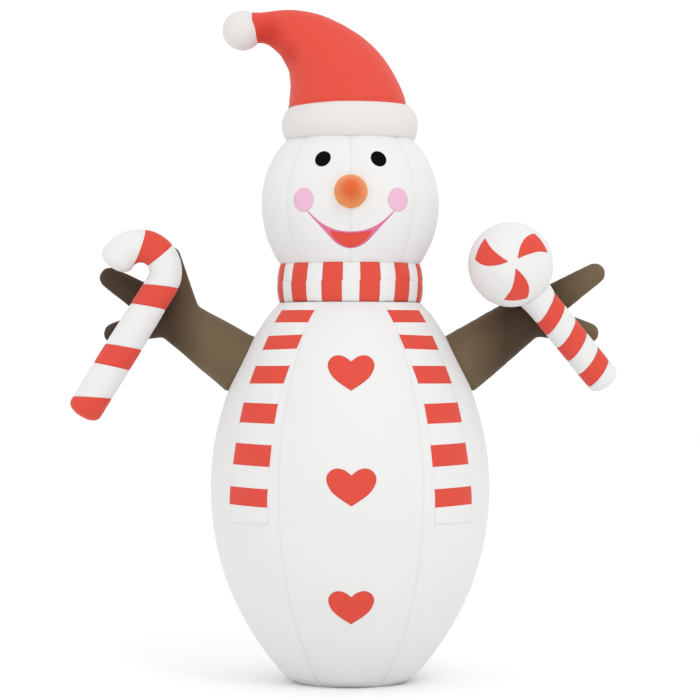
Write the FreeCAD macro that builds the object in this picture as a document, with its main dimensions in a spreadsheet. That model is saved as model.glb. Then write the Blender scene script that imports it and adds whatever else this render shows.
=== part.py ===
import FreeCAD, Part
import math
import os
import re

import Sketcher
from FreeCAD import Placement, Rotation, Vector

# Inflatable yard snowman.  Millimetres, +Z up, the front faces -Y, and the origin is the centre
# of the flat base.  Every blown-up skin is a thin closed shell.  Azimuths are in degrees from
# the front, positive towards +X.

SIZES = {
    # fabric
    "skin": 4,
    "lift": 0.5,
    "patch": 3,
    # body
    "belly_radius": 1104,
    "belly_height": 1520,
    "foot_radius": 585,
    "foot_height": 124,
    "base_radius": 450,
    "base_corner": 500,
    "shoulder_radius": 752,
    "shoulder_height": 2720,
    "neck_radius": 562,
    "neck_height": 2986,
    "neck_curve": 900,
    # head
    "head_radius": 702,
    "head_height": 3772,
    "throat_radius": 556,
    "throat_height": 3294,
    "crown_radius": 437,
    "crown_height": 4330,
    # scarf
    "collar_curve": 590,
    "collar_panels": 12,
    "tail_thick": 14,
    "tail_low": 1287,
    "tail_top_inner": 263,
    "tail_top_outer": 507,
    "tail_low_inner": 667,
    "tail_low_outer": 958,
    "tail_curve": 4300,
    "stripe_first": 1489,
    "stripe_pitch": 321,
    "stripe_crowd": 25,
    "stripe_width": 161,
    "stripe_shrink": 23,
    # hat
    "band_low_radius": 506,
    "band_low": 4271,
    "band_top_radius": 474,
    "band_top": 4541,
    "band_curve": 210,
    "hat_bend_side": 644,
    "hat_root_radius": 466,
    "hat_root_reach": 622,
    "hat_low_radius": 407,
    "hat_low_reach": 581,
    "hat_low_turn": 22,
    "hat_middle_radius": 326,
    "hat_middle_reach": 564,
    "hat_middle_turn": 45,
    "hat_high_radius": 227,
    "hat_high_reach": 586,
    "hat_high_turn": 68,
    "hat_neck_radius": 134,
    "hat_neck_reach": 621,
    "hat_neck_turn": 90,
    "hat_tip_radius": 121,
    "hat_tip_reach": 636,
    "hat_tip_turn": 101,
    "pompom_radius": 159,
    "pompom_side": 852,
    "pompom_height": 5146,
    # face
    "eye_long": 63,
    "eye_short": 52,
    "eye_side": 214,
    "eye_height": 4083,
    "eye_tilt": 22,
    "cheek_radius": 92,
    "cheek_side": 363,
    "cheek_height": 3766,
    "nose_radius": 132,
    "nose_tip": 46,
    "nose_length": 245,
    "nose_height": 3816,
    "nose_root": 50,
    "nose_rise": 30,
    "mouth_side": 338,
    "mouth_height": 3684,
    "mouth_curve_top": 421,
    "mouth_bend_side": 195,
    "mouth_bend_height": 3536,
    "mouth_curve_side": 400,
    "mouth_curve_low": 207,
    "lips_side": 178,
    "lips_height": 3521,
    "lips_curve_top": 802,
    "lips_curve_low": 197,
    # hearts
    "heart_half": 176,
    "heart_side_up": 48,
    "heart_notch_up": 86,
    "heart_tip_down": 158,
    "heart_side_curve": 330,
    "heart_lobe_curve": 96,
    "heart_top_height": 2440,
    "heart_middle_height": 1591,
    "heart_low_height": 666,
    # arms: side, height and radius at each end of the limb and of its three fingers
    "arm_side": 850,
    "arm_height": 2490,
    "arm_radius": 243,
    "palm_side": 1390,
    "palm_height": 2868,
    "palm_radius": 178,
    "thumb_root": 1322,
    "thumb_side": 1440,
    "thumb_height": 3390,
    "thumb_radius": 95,
    "upper_side": 1895,
    "upper_height": 3188,
    "upper_radius": 84,
    "lower_side": 1870,
    "lower_height": 2742,
    "lower_radius": 84,
    "knuckle_radius": 132,
    # candy cane
    "cane_radius": 126,
    "cane_front": 316,
    "hook_radius": 200,
    "hook_side": 1640,
    "hook_height": 3226,
    "hook_turn": 182,
    "hook_band": 66,
    "cane_lean": 31,
    "cane_length": 1105,
    "cane_cap": 80,
    "cane_band": 180,
    "cane_band_slant": 21,
    "cane_first_band": 108,
    "cane_band_pitch": 550,
    "cane_foot_band": 1030,
    "cane_foot_slant": 28,
    # lollipop
    "ball_radius": 331,
    "ball_side": 1242,
    "ball_front": 430,
    "ball_height": 3278,
    "stick_radius": 128,
    "stick_length": 1170,
    "stick_side_run": 744,
    "stick_drop": 892,
    "stick_back": 250,
    "stick_band": 135,
    "stick_band_slant": 19,
    "stick_first_band": 505,
    "stick_band_pitch": 275,
    "petal_reach": 283,
    "petal_inner": 20,
    "petal_spread": 21,
    "petal_curve": 330,
    # blower
    "fan_height": 330,
    "fan_radius": 150,
    "fan_wall": 4,
    "fan_back": 900,
    "fan_lip": 172,
    "fan_lip_width": 6,
    "fan_cuff": 16,
    "gland_radius": 9,
    "gland_bore": 4,
    "gland_length": 22,
    "gland_inset": 11,
    "cuff_strap_start": 22,
    "cuff_strap_width": 25,
    "fan_length": 240,
    "impeller_radius": 138,
    "impeller_start": 24,
    "impeller_width": 62,
    "impeller_plate": 4,
    "blade_thick": 3,
    "blade_count": 9,
    "hub_radius": 34,
    "shaft_radius": 6,
    "shaft_clearance": 0.06,
    "motor_radius": 48,
    "motor_start": 112,
    "motor_length": 96,
    "shaft_start": 20,
    "strut_start": 142,
    "strut_ring": 30,
    "strut_count": 4,
    "strut_inset": 8,
    "grille_thick": 5,
    "grille_spokes": 12,
    # zip
    "zip_low": 1330,
    "zip_length": 440,
    "zip_face": 1113,
    "zip_strip": 70,
    "zip_hem": 30,
    "placket_depth": 40,
    "stop_length": 8,
    "stop_gap": 1,
    "chain_width": 10,
    "chain_rise": 4,
    "slider_width": 18,
    "slider_length": 26,
    "slider_depth": 10,
    "slider_gap": 0.4,
    "ear_width": 2.4,
    "ear_depth": 10,
    "ear_length": 12,
    "ear_sink": 1,
    "pin_up": 6,
    "eye_wall": 2.5,
    "pin_out": 1129,
    "pin_radius": 1.5,
    "pin_clearance": 0.08,
    "pull_length": 48,
    "pull_width": 12,
    "pull_thick": 3,
    # tabs
    "tab_width": 50,
    "tab_length": 90,
    "tab_thick": 4,
    "tab_start": 488,
    "eyelet_bore": 6,
    "eyelet_flange": 13,
    "flange_thick": 1.2,
    "barrel_wall": 2.5,
    "barrel_rise": 1,
    "tab_hole_wall": 3,
    "tether_height": 1700,
    "tether_start": 1101,
    # inside
    "strap_width": 40,
    "strap_thick": 3,
    "strap_low": 20,
    "lamp_low": 744,
    "lamp_middle": 1820,
    "lamp_high": 3572,
    "lamp_radius": 45,
    "lamp_length": 60,
    "lens_depth": 12,
    "ballast_length": 340,
    "ballast_width": 190,
    "ballast_depth": 90,
    "ballast_start": 150,
    "ballast_round": 36,
}

doc = FreeCAD.newDocument("YardSnowman")
sheet = doc.addObject("Spreadsheet::Sheet", "Sizes")
for row, (alias, value) in enumerate(SIZES.items(), 1):
    sheet.set(f"A{row}", alias)
    sheet.set(f"B{row}", str(value))
    sheet.setAlias(f"B{row}", alias)
doc.recompute()

subparts = []


# ---------------------------------------------------------------- expressions and placements
def cells(text):
    """The text as an expression, with each size's name pointing at its cell."""
    return re.sub(r"[a-z_]\w*", lambda word: f"Sizes.{word[0]}" if word[0] in SIZES else word[0], text)


def size(text):
    value = sheet.evalExpression(cells(text))
    return float(getattr(value, "Value", value))


def bind(item, **sizes):
    for name, text in sizes.items():
        item.setExpression(name, cells(text))


def about_z(azimuth):
    """Turns a piece drawn along +X so that it faces the azimuth."""
    return Placement(Vector(), Rotation(Vector(0, 0, 1), azimuth - 90))


def towards(start, end):
    """Places a piece drawn along +Z from start, heading for end."""
    return Placement(start, Rotation(Vector(0, 0, 1), end - start))


def keep(item, label):
    item.Label = label
    subparts.append(item)
    return item


# ---------------------------------------------------------------- sketches
def arc_between(start, end, radius):
    """Arc from start to end; a positive radius bulges to the right of the way it runs."""
    chord = end - start
    right = Vector(chord.y, -chord.x, 0).normalize() * math.copysign(1, radius)
    rise = math.sqrt(radius**2 - chord.Length**2 / 4)
    centre = (start + end) / 2 - right * rise
    return Part.Arc(start, centre + right * abs(radius), end)


def draw(sketch, corners):
    """A closed outline: each corner is (x, y, radius of the arc to the next one or None)."""
    spots = [Vector(size(x), size(y), 0) for x, y, _ in corners]
    ends = []
    for i, (_, _, radius) in enumerate(corners):
        start, end = spots[i], spots[(i + 1) % len(spots)]
        if radius is None:
            edge = Part.LineSegment(start, end)
        else:
            edge = arc_between(start, end, size(radius))
        number = sketch.addGeometry(edge, False)
        first = 1 if (sketch.getPoint(number, 1) - start).Length < 1e-3 else 2
        ends.append((number, first, 3 - first))
    for i, (x, y, radius) in enumerate(corners):
        number, first, _ = ends[i]
        before, _, last = ends[i - 1]
        sketch.addConstraint(Sketcher.Constraint("Coincident", before, last, number, first))
        for kind, text in (("DistanceX", x), ("DistanceY", y)):
            index = sketch.addConstraint(Sketcher.Constraint(kind, -1, 1, number, first, size(text)))
            sketch.setExpression(f"Constraints[{index}]", cells(text))
        if radius is not None:
            curve = f"abs({radius})"
            index = sketch.addConstraint(Sketcher.Constraint("Radius", number, size(curve)))
            sketch.setExpression(f"Constraints[{index}]", cells(curve))
    return sketch


def origin_item(body, role):
    return next(item for item in body.Origin.OriginFeatures if item.Role == role)


def body_sketch(body, plane, corners):
    sketch = body.newObject("Sketcher::SketchObject", "Outline")
    sketch.AttachmentSupport = [(origin_item(body, plane), "")]
    sketch.MapMode = "FlatFace"
    return draw(sketch, corners)


def new_body(name):
    return doc.addObject("PartDesign::Body", name)


def revolve(body, corners, angle="360"):
    sketch = body_sketch(body, "XZ_Plane", corners)
    turn = body.newObject("PartDesign::Revolution", "Turn")
    turn.Profile = sketch
    turn.ReferenceAxis = (origin_item(body, "Z_Axis"), [""])
    turn.Midplane = size(angle) < 360
    bind(turn, Angle=angle)
    return turn


def around(body, feature, count):
    """Repeats a feature round the body's Z axis."""
    pattern = body.newObject("PartDesign::PolarPattern", "Round")
    pattern.Originals = [feature]
    pattern.Axis = (origin_item(body, "Z_Axis"), [""])
    pattern.Angle = 360
    bind(pattern, Occurrences=count)
    body.Tip = pattern
    return pattern


def front_prism(name, corners):
    """An outline seen from the front, run through the whole front half along Y."""
    sketch = draw(doc.addObject("Sketcher::SketchObject", f"{name}_outline"), corners)
    sketch.Placement = Placement(Vector(), Rotation(Vector(1, 0, 0), 90))
    return front_extrusion(name, sketch)


def front_extrusion(name, base):
    prism = doc.addObject("Part::Extrusion", f"{name}_prism")
    prism.Base = base
    prism.DirMode = "Custom"
    prism.Dir = Vector(0, -1, 0)
    prism.Solid = True
    bind(prism, LengthFwd="belly_radius * 2")
    return prism


# ---------------------------------------------------------------- surfaces of revolution
def upright_radius(high, wide):
    """Radius of an arc that starts upright and moves by wide over the height high."""
    return f"(({high})^2 + ({wide})^2) / 2 / ({wide})"


# Each line runs upward.  A corner is (radius, height, curve of the arc to the next corner, lean),
# and the lean is how far the outward direction there points up, in degrees.
BODY_LINE = [
    ("base_radius", "0", "base_corner", -90),
    (
        "foot_radius",
        "foot_height",
        upright_radius("belly_height - foot_height", "belly_radius - foot_radius"),
        -40,
    ),
    (
        "belly_radius",
        "belly_height",
        upright_radius("shoulder_height - belly_height", "belly_radius - shoulder_radius"),
        0,
    ),
    ("shoulder_radius", "shoulder_height", "neck_curve", 33),
    ("neck_radius", "neck_height", None, 0),
]
COLLAR_LINE = [
    ("neck_radius", "neck_height", "collar_curve", 0),
    ("throat_radius", "throat_height", None, 0),
]
HEAD_LINE = [
    (
        "throat_radius",
        "throat_height",
        upright_radius("head_height - throat_height", "head_radius - throat_radius"),
        0,
    ),
    (
        "head_radius",
        "head_height",
        upright_radius("crown_height - head_height", "head_radius - crown_radius"),
        0,
    ),
    ("crown_radius", "crown_height", None, 40),
]
BAND_LINE = [
    ("band_low_radius", "band_low", "band_curve", 0),
    ("band_top_radius", "band_top", None, 0),
]


def moved(corner, distance, curve):
    """The corner moved outward by the distance, with the curve that follows it."""
    radius, height, _, lean = corner
    out, up = math.cos(math.radians(lean)), math.sin(math.radians(lean))
    return (f"{radius} + ({distance}) * {out:.4f}", f"{height} + ({distance}) * {up:.4f}", curve)


def wall(line, inside, outside):
    """The line made into a closed wall between two distances outward from it."""
    outer = [moved(corner, outside, corner[2]) for corner in line]
    inner = []
    for i in reversed(range(len(line))):
        curve = f"-{line[i - 1][2]}" if i else None
        inner.append(moved(line[i], inside, curve))
    return outer + inner


def core_of(line, distance):
    """The space inside the line, closed along the axis."""
    outer = [moved(corner, distance, corner[2]) for corner in line]
    return [*outer, ("0", outer[-1][1], None), ("0", outer[0][1], None)]


def gores(prefix, line, names):
    """A skin of equal panels; four or eight of them meet in a seam at the front."""
    turn = 180 / len(names) if len(names) % 4 == 0 else 0
    panels = {}
    for i, name in enumerate(names):
        body = new_body(prefix)
        revolve(body, wall(line, "-skin", "0"), f"360 / {len(names)}")
        body.Placement = about_z(turn + 360 * i / len(names))
        panels[name] = body
    return panels


def core(name, line, distance="lift"):
    body = new_body(name)
    revolve(body, core_of(line, distance))
    return body


def shell(name, line, inside, outside):
    body = new_body(name)
    revolve(body, wall(line, inside, outside))
    return body


# ---------------------------------------------------------------- booleans and primitives
def cut(name, base, tool):
    item = doc.addObject("Part::Cut", name)
    item.Base = base
    item.Tool = tool
    return item


def common(name, base, tool):
    item = doc.addObject("Part::Common", name)
    item.Base = base
    item.Tool = tool
    return item


def group(name, items):
    item = doc.addObject("Part::Compound", name)
    item.Links = items
    return item


def fuse(name, items):
    item = doc.addObject("Part::MultiFuse", name)
    item.Shapes = items
    return item


def primitive(kind, name, place=None, **sizes):
    item = doc.addObject(f"Part::{kind}", name)
    bind(item, **sizes)
    item.Placement = place or Placement()
    return item


def box(name, corner, length, width, height, turn=None):
    """A box from its lowest corner, turned about the axis through the origin."""
    place = Placement(Vector(*(size(text) for text in corner)), Rotation())
    if turn is not None:
        place = turn * place
    return primitive("Box", name, place, Length=length, Width=width, Height=height)


# ---------------------------------------------------------------- body, head and scarf
BODY_PANELS = ["front", "front_right", "rear_right", "rear", "rear_left", "front_left"]
HEAD_PANELS = [
    "face_right",
    "cheek_right",
    "back_right",
    "rear_right",
    "rear_left",
    "back_left",
    "cheek_left",
    "face_left",
]


def make_body():
    panels = gores("body_gore", BODY_LINE, BODY_PANELS)
    hole = primitive(
        "Cylinder", "fan_hole", fan_place("0"), Radius="fan_radius + lift", Height="fan_length * 2"
    )
    panels["rear"] = cut("body_gore_rear_cut", panels["rear"], hole)
    for name, panel in panels.items():
        keep(panel, f"body_gore_{name}")
    base = primitive("Cylinder", "base", Radius="base_radius - lift", Height="skin")
    keep(base, "base_disc")


def make_head():
    for name, panel in gores("head_gore", HEAD_LINE, HEAD_PANELS).items():
        keep(panel, f"head_gore_{name}")


def make_collar():
    panel = 180 / size("collar_panels")
    for colour, azimuth in (("red", panel), ("white", 0)):
        body = new_body(f"collar_{colour}")
        turn = revolve(body, wall(COLLAR_LINE, "-skin", "0"), "180 / collar_panels")
        around(body, turn, "collar_panels")
        body.Placement = about_z(azimuth)
        keep(body, f"collar_{colour}_panels")


def make_tails():
    cloth = shell("tail_cloth", BODY_LINE, "lift", "lift + tail_thick")
    outline = [
        ("tail_top_inner", "neck_height - lift", "-tail_curve"),
        ("tail_low_inner", "tail_low", None),
        ("tail_low_outer", "tail_low", "tail_curve"),
        ("tail_top_outer", "neck_height - lift", None),
    ]
    tail = common("tail", cloth, front_prism("tail", outline))
    stripes = []
    for i in range(6):
        crowded = max(i - 2, 0)
        width = f"(stripe_width - stripe_shrink * {crowded})"
        middle = f"stripe_first + stripe_pitch * {i} - stripe_crowd * {crowded**2}"
        corner = ("0", "-belly_radius * 2", f"{middle} - {width} / 2")
        stripes.append(box("stripe", corner, "belly_radius * 2", "belly_radius * 2", width))
    stripes = group("tail_stripes", stripes)
    for colour, piece in (
        ("red", common("tail_red", tail, stripes)),
        ("white", cut("tail_white", tail, stripes)),
    ):
        keep(piece, f"scarf_tail_right_{colour}")
        keep(mirrored(piece), f"scarf_tail_left_{colour}")


# ---------------------------------------------------------------- hat
def make_hat():
    band = new_body("band")
    revolve(band, wall(BAND_LINE, "-skin", "0"))
    keep(band, "hat_band")
    skins = [bent_cone(name, inset) for name, inset in (("hat_out", "0"), ("hat_in", "skin"))]
    keep(cut("hat", *skins), "hat_cone")
    middle = Vector(-size("pompom_side"), 0, size("pompom_height"))
    ball = primitive("Sphere", "pompom_ball", Placement(middle, Rotation()), Radius="pompom_radius")
    keep(cut("pompom", ball, skins[0]), "pompom")


# Rings of the hat: their names, and how far they are turned towards -X about the bend's middle.
HAT_RINGS = [
    ("root", "0"),
    ("low", "hat_low_turn"),
    ("middle", "hat_middle_turn"),
    ("high", "hat_high_turn"),
    ("neck", "hat_neck_turn"),
    ("tip", "hat_tip_turn"),
]


def bent_cone(name, inset):
    """Rings lofted along a bend that leans over towards -X."""
    rings = []
    for place, turn in HAT_RINGS:
        ring = doc.addObject("Part::Circle", f"{name}_ring")
        bind(ring, Radius=f"hat_{place}_radius - {inset}")
        angle = size(turn)
        reach = size(f"hat_{place}_reach")
        side = math.cos(math.radians(angle)) * reach - size("hat_bend_side")
        height = size("band_top") + math.sin(math.radians(angle)) * reach
        ring.Placement = Placement(Vector(side, 0, height), Rotation(Vector(0, 1, 0), -angle))
        rings.append(ring)
    loft = doc.addObject("Part::Loft", name)
    loft.Sections = rings
    loft.Solid = True
    return loft


# ---------------------------------------------------------------- face and hearts
def front_ellipse(name, side, height, long_half, short_half, tilt="0"):
    """An ellipse seen from the front, its long axis tilted from upright towards +X."""
    oval = doc.addObject("Part::Ellipse", name)
    bind(oval, MajorRadius=long_half, MinorRadius=short_half)
    upright = Rotation(Vector(1, 0, 0), 90) * Rotation(Vector(0, 0, 1), 90 - size(tilt))
    oval.Placement = Placement(Vector(size(side), 0, size(height)), upright)
    return front_extrusion(name, oval)


def mirrored(item):
    mirror = doc.addObject("Part::Mirroring", "mirrored")
    mirror.Source = item
    mirror.Normal = Vector(1, 0, 0)
    return mirror


def pair(name, item):
    return group(name, [item, mirrored(item)])


def make_face():
    first = shell("face_cloth", HEAD_LINE, "lift", "lift + patch")
    second = shell("face_cloth_2", HEAD_LINE, "lift * 2 + patch", "lift * 2 + patch * 2")
    eye = front_ellipse("eye", "eye_side", "eye_height", "eye_long", "eye_short", "-eye_tilt")
    keep(common("eyes", first, pair("eye_pair", eye)), "eye_patches")
    cheek = front_ellipse("cheek", "cheek_side", "cheek_height", "cheek_radius", "cheek_radius * 0.999")
    cheeks = pair("cheek_pair", cheek)
    keep(common("cheeks", first, cheeks), "cheek_patches")
    smile = front_prism(
        "smile",
        [
            ("-mouth_side", "mouth_height", "mouth_curve_side"),
            ("-mouth_bend_side", "mouth_bend_height", "mouth_curve_low"),
            ("mouth_bend_side", "mouth_bend_height", "mouth_curve_side"),
            ("mouth_side", "mouth_height", "-mouth_curve_top"),
        ],
    )
    keep(cut("mouth", common("smile", first, smile), cheeks), "mouth_patch")
    lips = front_prism(
        "lips",
        [
            ("-lips_side", "lips_height", "lips_curve_low"),
            ("lips_side", "lips_height", "-lips_curve_top"),
        ],
    )
    keep(common("lips", second, lips), "mouth_inner_patch")


def make_nose():
    root = Vector(0, -size("head_radius - nose_root"), size("nose_height"))
    tip = Vector(0, -size("head_radius + nose_length - nose_tip"), size("nose_height + nose_rise"))
    cone = primitive(
        "Cone",
        "nose_body",
        towards(root, tip),
        Radius1="nose_radius",
        Radius2="nose_tip",
        Height="nose_length - nose_tip + nose_root",
    )
    end = towards(root, tip).multVec(Vector(0, 0, size("nose_length - nose_tip + nose_root")))
    ball = primitive("Sphere", "nose_ball", Placement(end, Rotation()), Radius="nose_tip")
    nose = cut("nose", fuse("nose_parts", [cone, ball]), core("nose_seat", HEAD_LINE))
    keep(nose, "nose_cone")


def heart_outline(height):
    half, side, notch = "heart_half", f"{height} + heart_side_up", f"{height} + heart_notch_up"
    return [
        ("0", f"{height} - heart_tip_down", "heart_side_curve"),
        (half, side, "heart_lobe_curve"),
        ("0", notch, "heart_lobe_curve"),
        (f"-{half}", side, "heart_side_curve"),
    ]


def make_hearts():
    cloth = shell("heart_cloth", BODY_LINE, "lift", "lift + patch")
    heights = ["heart_top_height", "heart_middle_height", "heart_low_height"]
    prisms = [front_prism("heart", heart_outline(height)) for height in heights]
    keep(common("hearts", cloth, group("heart_prisms", prisms)), "heart_patches")


# ---------------------------------------------------------------- arms
# Stations are (side, height, radius).
PALM = ("palm_side", "palm_height", "knuckle_radius")
ARM_PIECES = [
    (("arm_side", "arm_height", "arm_radius"), ("palm_side", "palm_height", "palm_radius")),
    (("thumb_root", "palm_height", "knuckle_radius"), ("thumb_side", "thumb_height", "thumb_radius")),
    (PALM, ("upper_side", "upper_height", "upper_radius")),
    (PALM, ("lower_side", "lower_height", "lower_radius")),
]


def arm_form(name, inset):
    pieces = []
    for near, far in ARM_PIECES:
        start, end = (Vector(size(side), 0, size(height)) for side, height, _ in (near, far))
        length = f"sqrt(({far[0]} - {near[0]})^2 + ({far[1]} - {near[1]})^2)"
        radii = {"Radius1": f"{near[2]} - {inset}", "Radius2": f"{far[2]} - {inset}"}
        pieces.append(primitive("Cone", name, towards(start, end), Height=length, **radii))
        pieces.append(primitive("Sphere", name, Placement(end, Rotation()), Radius=radii["Radius2"]))
    return fuse(name, pieces)


def make_arms():
    skin = cut("arm_skin", arm_form("arm_out", "0"), arm_form("arm_in", "skin"))
    arm = cut("arm", skin, core("arm_seat", BODY_LINE))
    keep(arm, "arm_right")
    keep(mirrored(arm), "arm_left")


# ---------------------------------------------------------------- candy cane and lollipop
def rounded_end(name, end, heading, radius, depth):
    """Half an egg that closes a tube whose end faces the heading."""
    return primitive(
        "Ellipsoid", name, towards(end, end + heading), Radius1=depth, Radius2=radius, Angle1="0"
    )


def slab(name, middle, along, reach, thick):
    """A flat block across a tube, centred on middle."""
    block = primitive("Box", name, Length=reach, Width=reach, Height=thick)
    back = Vector(-size(reach) / 2, -size(reach) / 2, -size(thick) / 2)
    block.Placement = towards(middle, middle + along) * Placement(back, Rotation())
    return block


def slanted(along, angle):
    """The way along a tube, turned by the bands' slant as seen from the front."""
    return Rotation(Vector(0, 1, 0), -size(angle)).multVec(along)


def cane_places():
    lean = math.radians(size("cane_lean"))
    hook = Vector(-size("hook_side"), -size("cane_front"), size("hook_height"))
    start = hook + Vector(math.cos(lean), 0, -math.sin(lean)) * size("hook_radius")
    down = Vector(-math.sin(lean), 0, -math.cos(lean))
    return hook, start, down


def cane_form(name, inset):
    hook, start, down = cane_places()
    radius = f"cane_radius - {inset}"
    flat = Rotation(Vector(1, 0, 0), 90) * Rotation(Vector(0, 0, 1), -size("cane_lean"))
    bend = primitive(
        "Torus", name, Placement(hook, flat), Radius1="hook_radius", Radius2=radius, Angle3="hook_turn"
    )
    shaft = primitive("Cylinder", name, towards(start, start + down), Radius=radius, Height="cane_length")
    turn = math.radians(size("hook_turn - cane_lean"))
    tip = hook + Vector(math.cos(turn), 0, math.sin(turn)) * size("hook_radius")
    tip_way = Vector(-math.sin(turn), 0, math.cos(turn))
    foot = start + down * size("cane_length")
    caps = [
        rounded_end(name, tip, tip_way, radius, f"cane_cap - {inset}"),
        rounded_end(name, foot, down, radius, f"cane_cap - {inset}"),
    ]
    return fuse(name, [bend, shaft, *caps])


def make_cane():
    hook, start, down = cane_places()
    skin = cut("cane_skin", cane_form("cane_out", "0"), cane_form("cane_in", "skin"))
    reach = "cane_radius * 3"
    slant = slanted(down, "cane_band_slant")
    bands = []
    for i in range(2):
        middle = start + down * size(f"cane_first_band + cane_band_pitch * {i}")
        bands.append(slab("cane_band", middle, slant, reach, "cane_band"))
    turn = math.radians(size("hook_band"))
    outward = Vector(math.cos(turn), 0, math.sin(turn))
    top = hook + outward * size("hook_radius * 1.2")
    bands.append(slab("cane_band", top, Vector(-outward.z, 0, outward.x), "hook_radius * 2", "cane_band"))
    slant = slanted(down, "cane_foot_slant")
    foot = start + down * size("cane_foot_band") + slant * (size(reach) / 2)
    bands.append(slab("cane_band", foot, slant, reach, reach))
    bands = group("cane_bands", bands)
    keep(common("cane_red", skin, bands), "candy_cane_red_bands")
    keep(cut("cane_white", skin, bands), "candy_cane_white_tube")


def ball_middle():
    return Vector(size("ball_side"), -size("ball_front"), size("ball_height"))


def ball(name, radius):
    return primitive("Sphere", name, Placement(ball_middle(), Rotation()), Radius=radius)


def make_lollipop():
    outer = ball("ball_out", "ball_radius")
    keep(cut("ball", outer, ball("ball_in", "ball_radius - skin")), "lollipop_ball")
    faces = [ball("petal_face", f"ball_radius + lift{more}") for more in (" + patch", "")]
    cloth = cut("petal_cloth", *faces)
    petals = []
    for turn in (34, 154, 274):
        corners = [
            ("petal_inner", f"({turn})", "petal_curve"),
            ("petal_reach", f"({turn} - petal_spread)", "petal_reach"),
            ("petal_reach", f"({turn} + petal_spread)", "-petal_curve"),
        ]
        outline = [
            (f"ball_side + {reach} * cos{angle}", f"ball_height + {reach} * sin{angle}", curve)
            for reach, angle, curve in corners
        ]
        petals.append(front_prism("petal", outline))
    keep(common("petals", cloth, group("petal_prisms", petals)), "lollipop_petals")

    run = Vector(size("stick_side_run"), size("stick_back"), -size("stick_drop")).normalize()
    skins = []
    for name, inset in (("stick_out", "0"), ("stick_in", "skin")):
        radius = f"stick_radius - {inset}"
        tube = primitive(
            "Cylinder",
            name,
            towards(ball_middle(), ball_middle() + run),
            Radius=radius,
            Height="stick_length",
        )
        end = ball_middle() + run * size("stick_length")
        cap = rounded_end(name, end, run, radius, f"cane_cap - {inset}")
        skins.append(fuse(name, [tube, cap]))
    stick = cut("stick", cut("stick_skin", *skins), ball("stick_seat", "ball_radius + lift"))
    slant = slanted(run, "stick_band_slant")
    bands = []
    for i in range(3):
        middle = ball_middle() + run * size(f"stick_first_band + stick_band_pitch * {i}")
        bands.append(slab("stick_band", middle, slant, "stick_radius * 3", "stick_band"))
    bands = group("stick_bands", bands)
    keep(common("stick_red", stick, bands), "lollipop_stick_red_bands")
    keep(cut("stick_white", stick, bands), "lollipop_stick_white_tube")


# ---------------------------------------------------------------- blower
def fan_place(depth):
    """Places a piece drawn along +Z so that it runs into the snowman from the fan's outer face."""
    start = Vector(0, size("fan_back") - size(depth), size("fan_height"))
    return towards(start, start + Vector(0, -1, 0))


def turned(name, outlines, depth="0"):
    """A piece turned from rings; each outline is (inner radius, outer radius, start, end)."""
    body = new_body(name)
    sketch = body_sketch(body, "XZ_Plane", ring(outlines[0]))
    for outline in outlines[1:]:
        draw(sketch, ring(outline))
    turn = body.newObject("PartDesign::Revolution", "Turn")
    turn.Profile = sketch
    turn.ReferenceAxis = (origin_item(body, "Z_Axis"), [""])
    turn.Angle = 360
    body.Placement = fan_place(depth)
    return body


def ring(outline):
    inner, outer, start, end = outline
    return [(inner, start, None), (outer, start, None), (outer, end, None), (inner, end, None)]


def add_spokes(body, inner, outer, width, start, end, count):
    """Straight spokes round the body's axis, from start to end along it."""
    sketch = body_sketch(
        body,
        "XY_Plane",
        [
            (inner, f"-({width}) / 2", None),
            (outer, f"-({width}) / 2", None),
            (outer, f"({width}) / 2", None),
            (inner, f"({width}) / 2", None),
        ],
    )
    sketch.setExpression("AttachmentOffset.Base.z", cells(start))
    pad = body.newObject("PartDesign::Pad", "Spoke")
    pad.Profile = sketch
    bind(pad, Length=f"({end}) - ({start})")
    around(body, pad, count)


def make_guard(label, depth):
    body = turned(
        label,
        [
            ("fan_radius - fan_wall * 4", "fan_radius", "0", "grille_thick"),
            ("fan_radius * 0.6", "fan_radius * 0.6 + fan_wall", "0", "grille_thick"),
            ("fan_radius * 0.3", "fan_radius * 0.3 + fan_wall", "0", "grille_thick"),
        ],
        depth,
    )
    add_spokes(
        body,
        "fan_radius * 0.3 + fan_wall / 2",
        "fan_radius - fan_wall * 3",
        "fan_wall",
        "0",
        "grille_thick",
        "grille_spokes",
    )
    keep(body, label)


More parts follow.
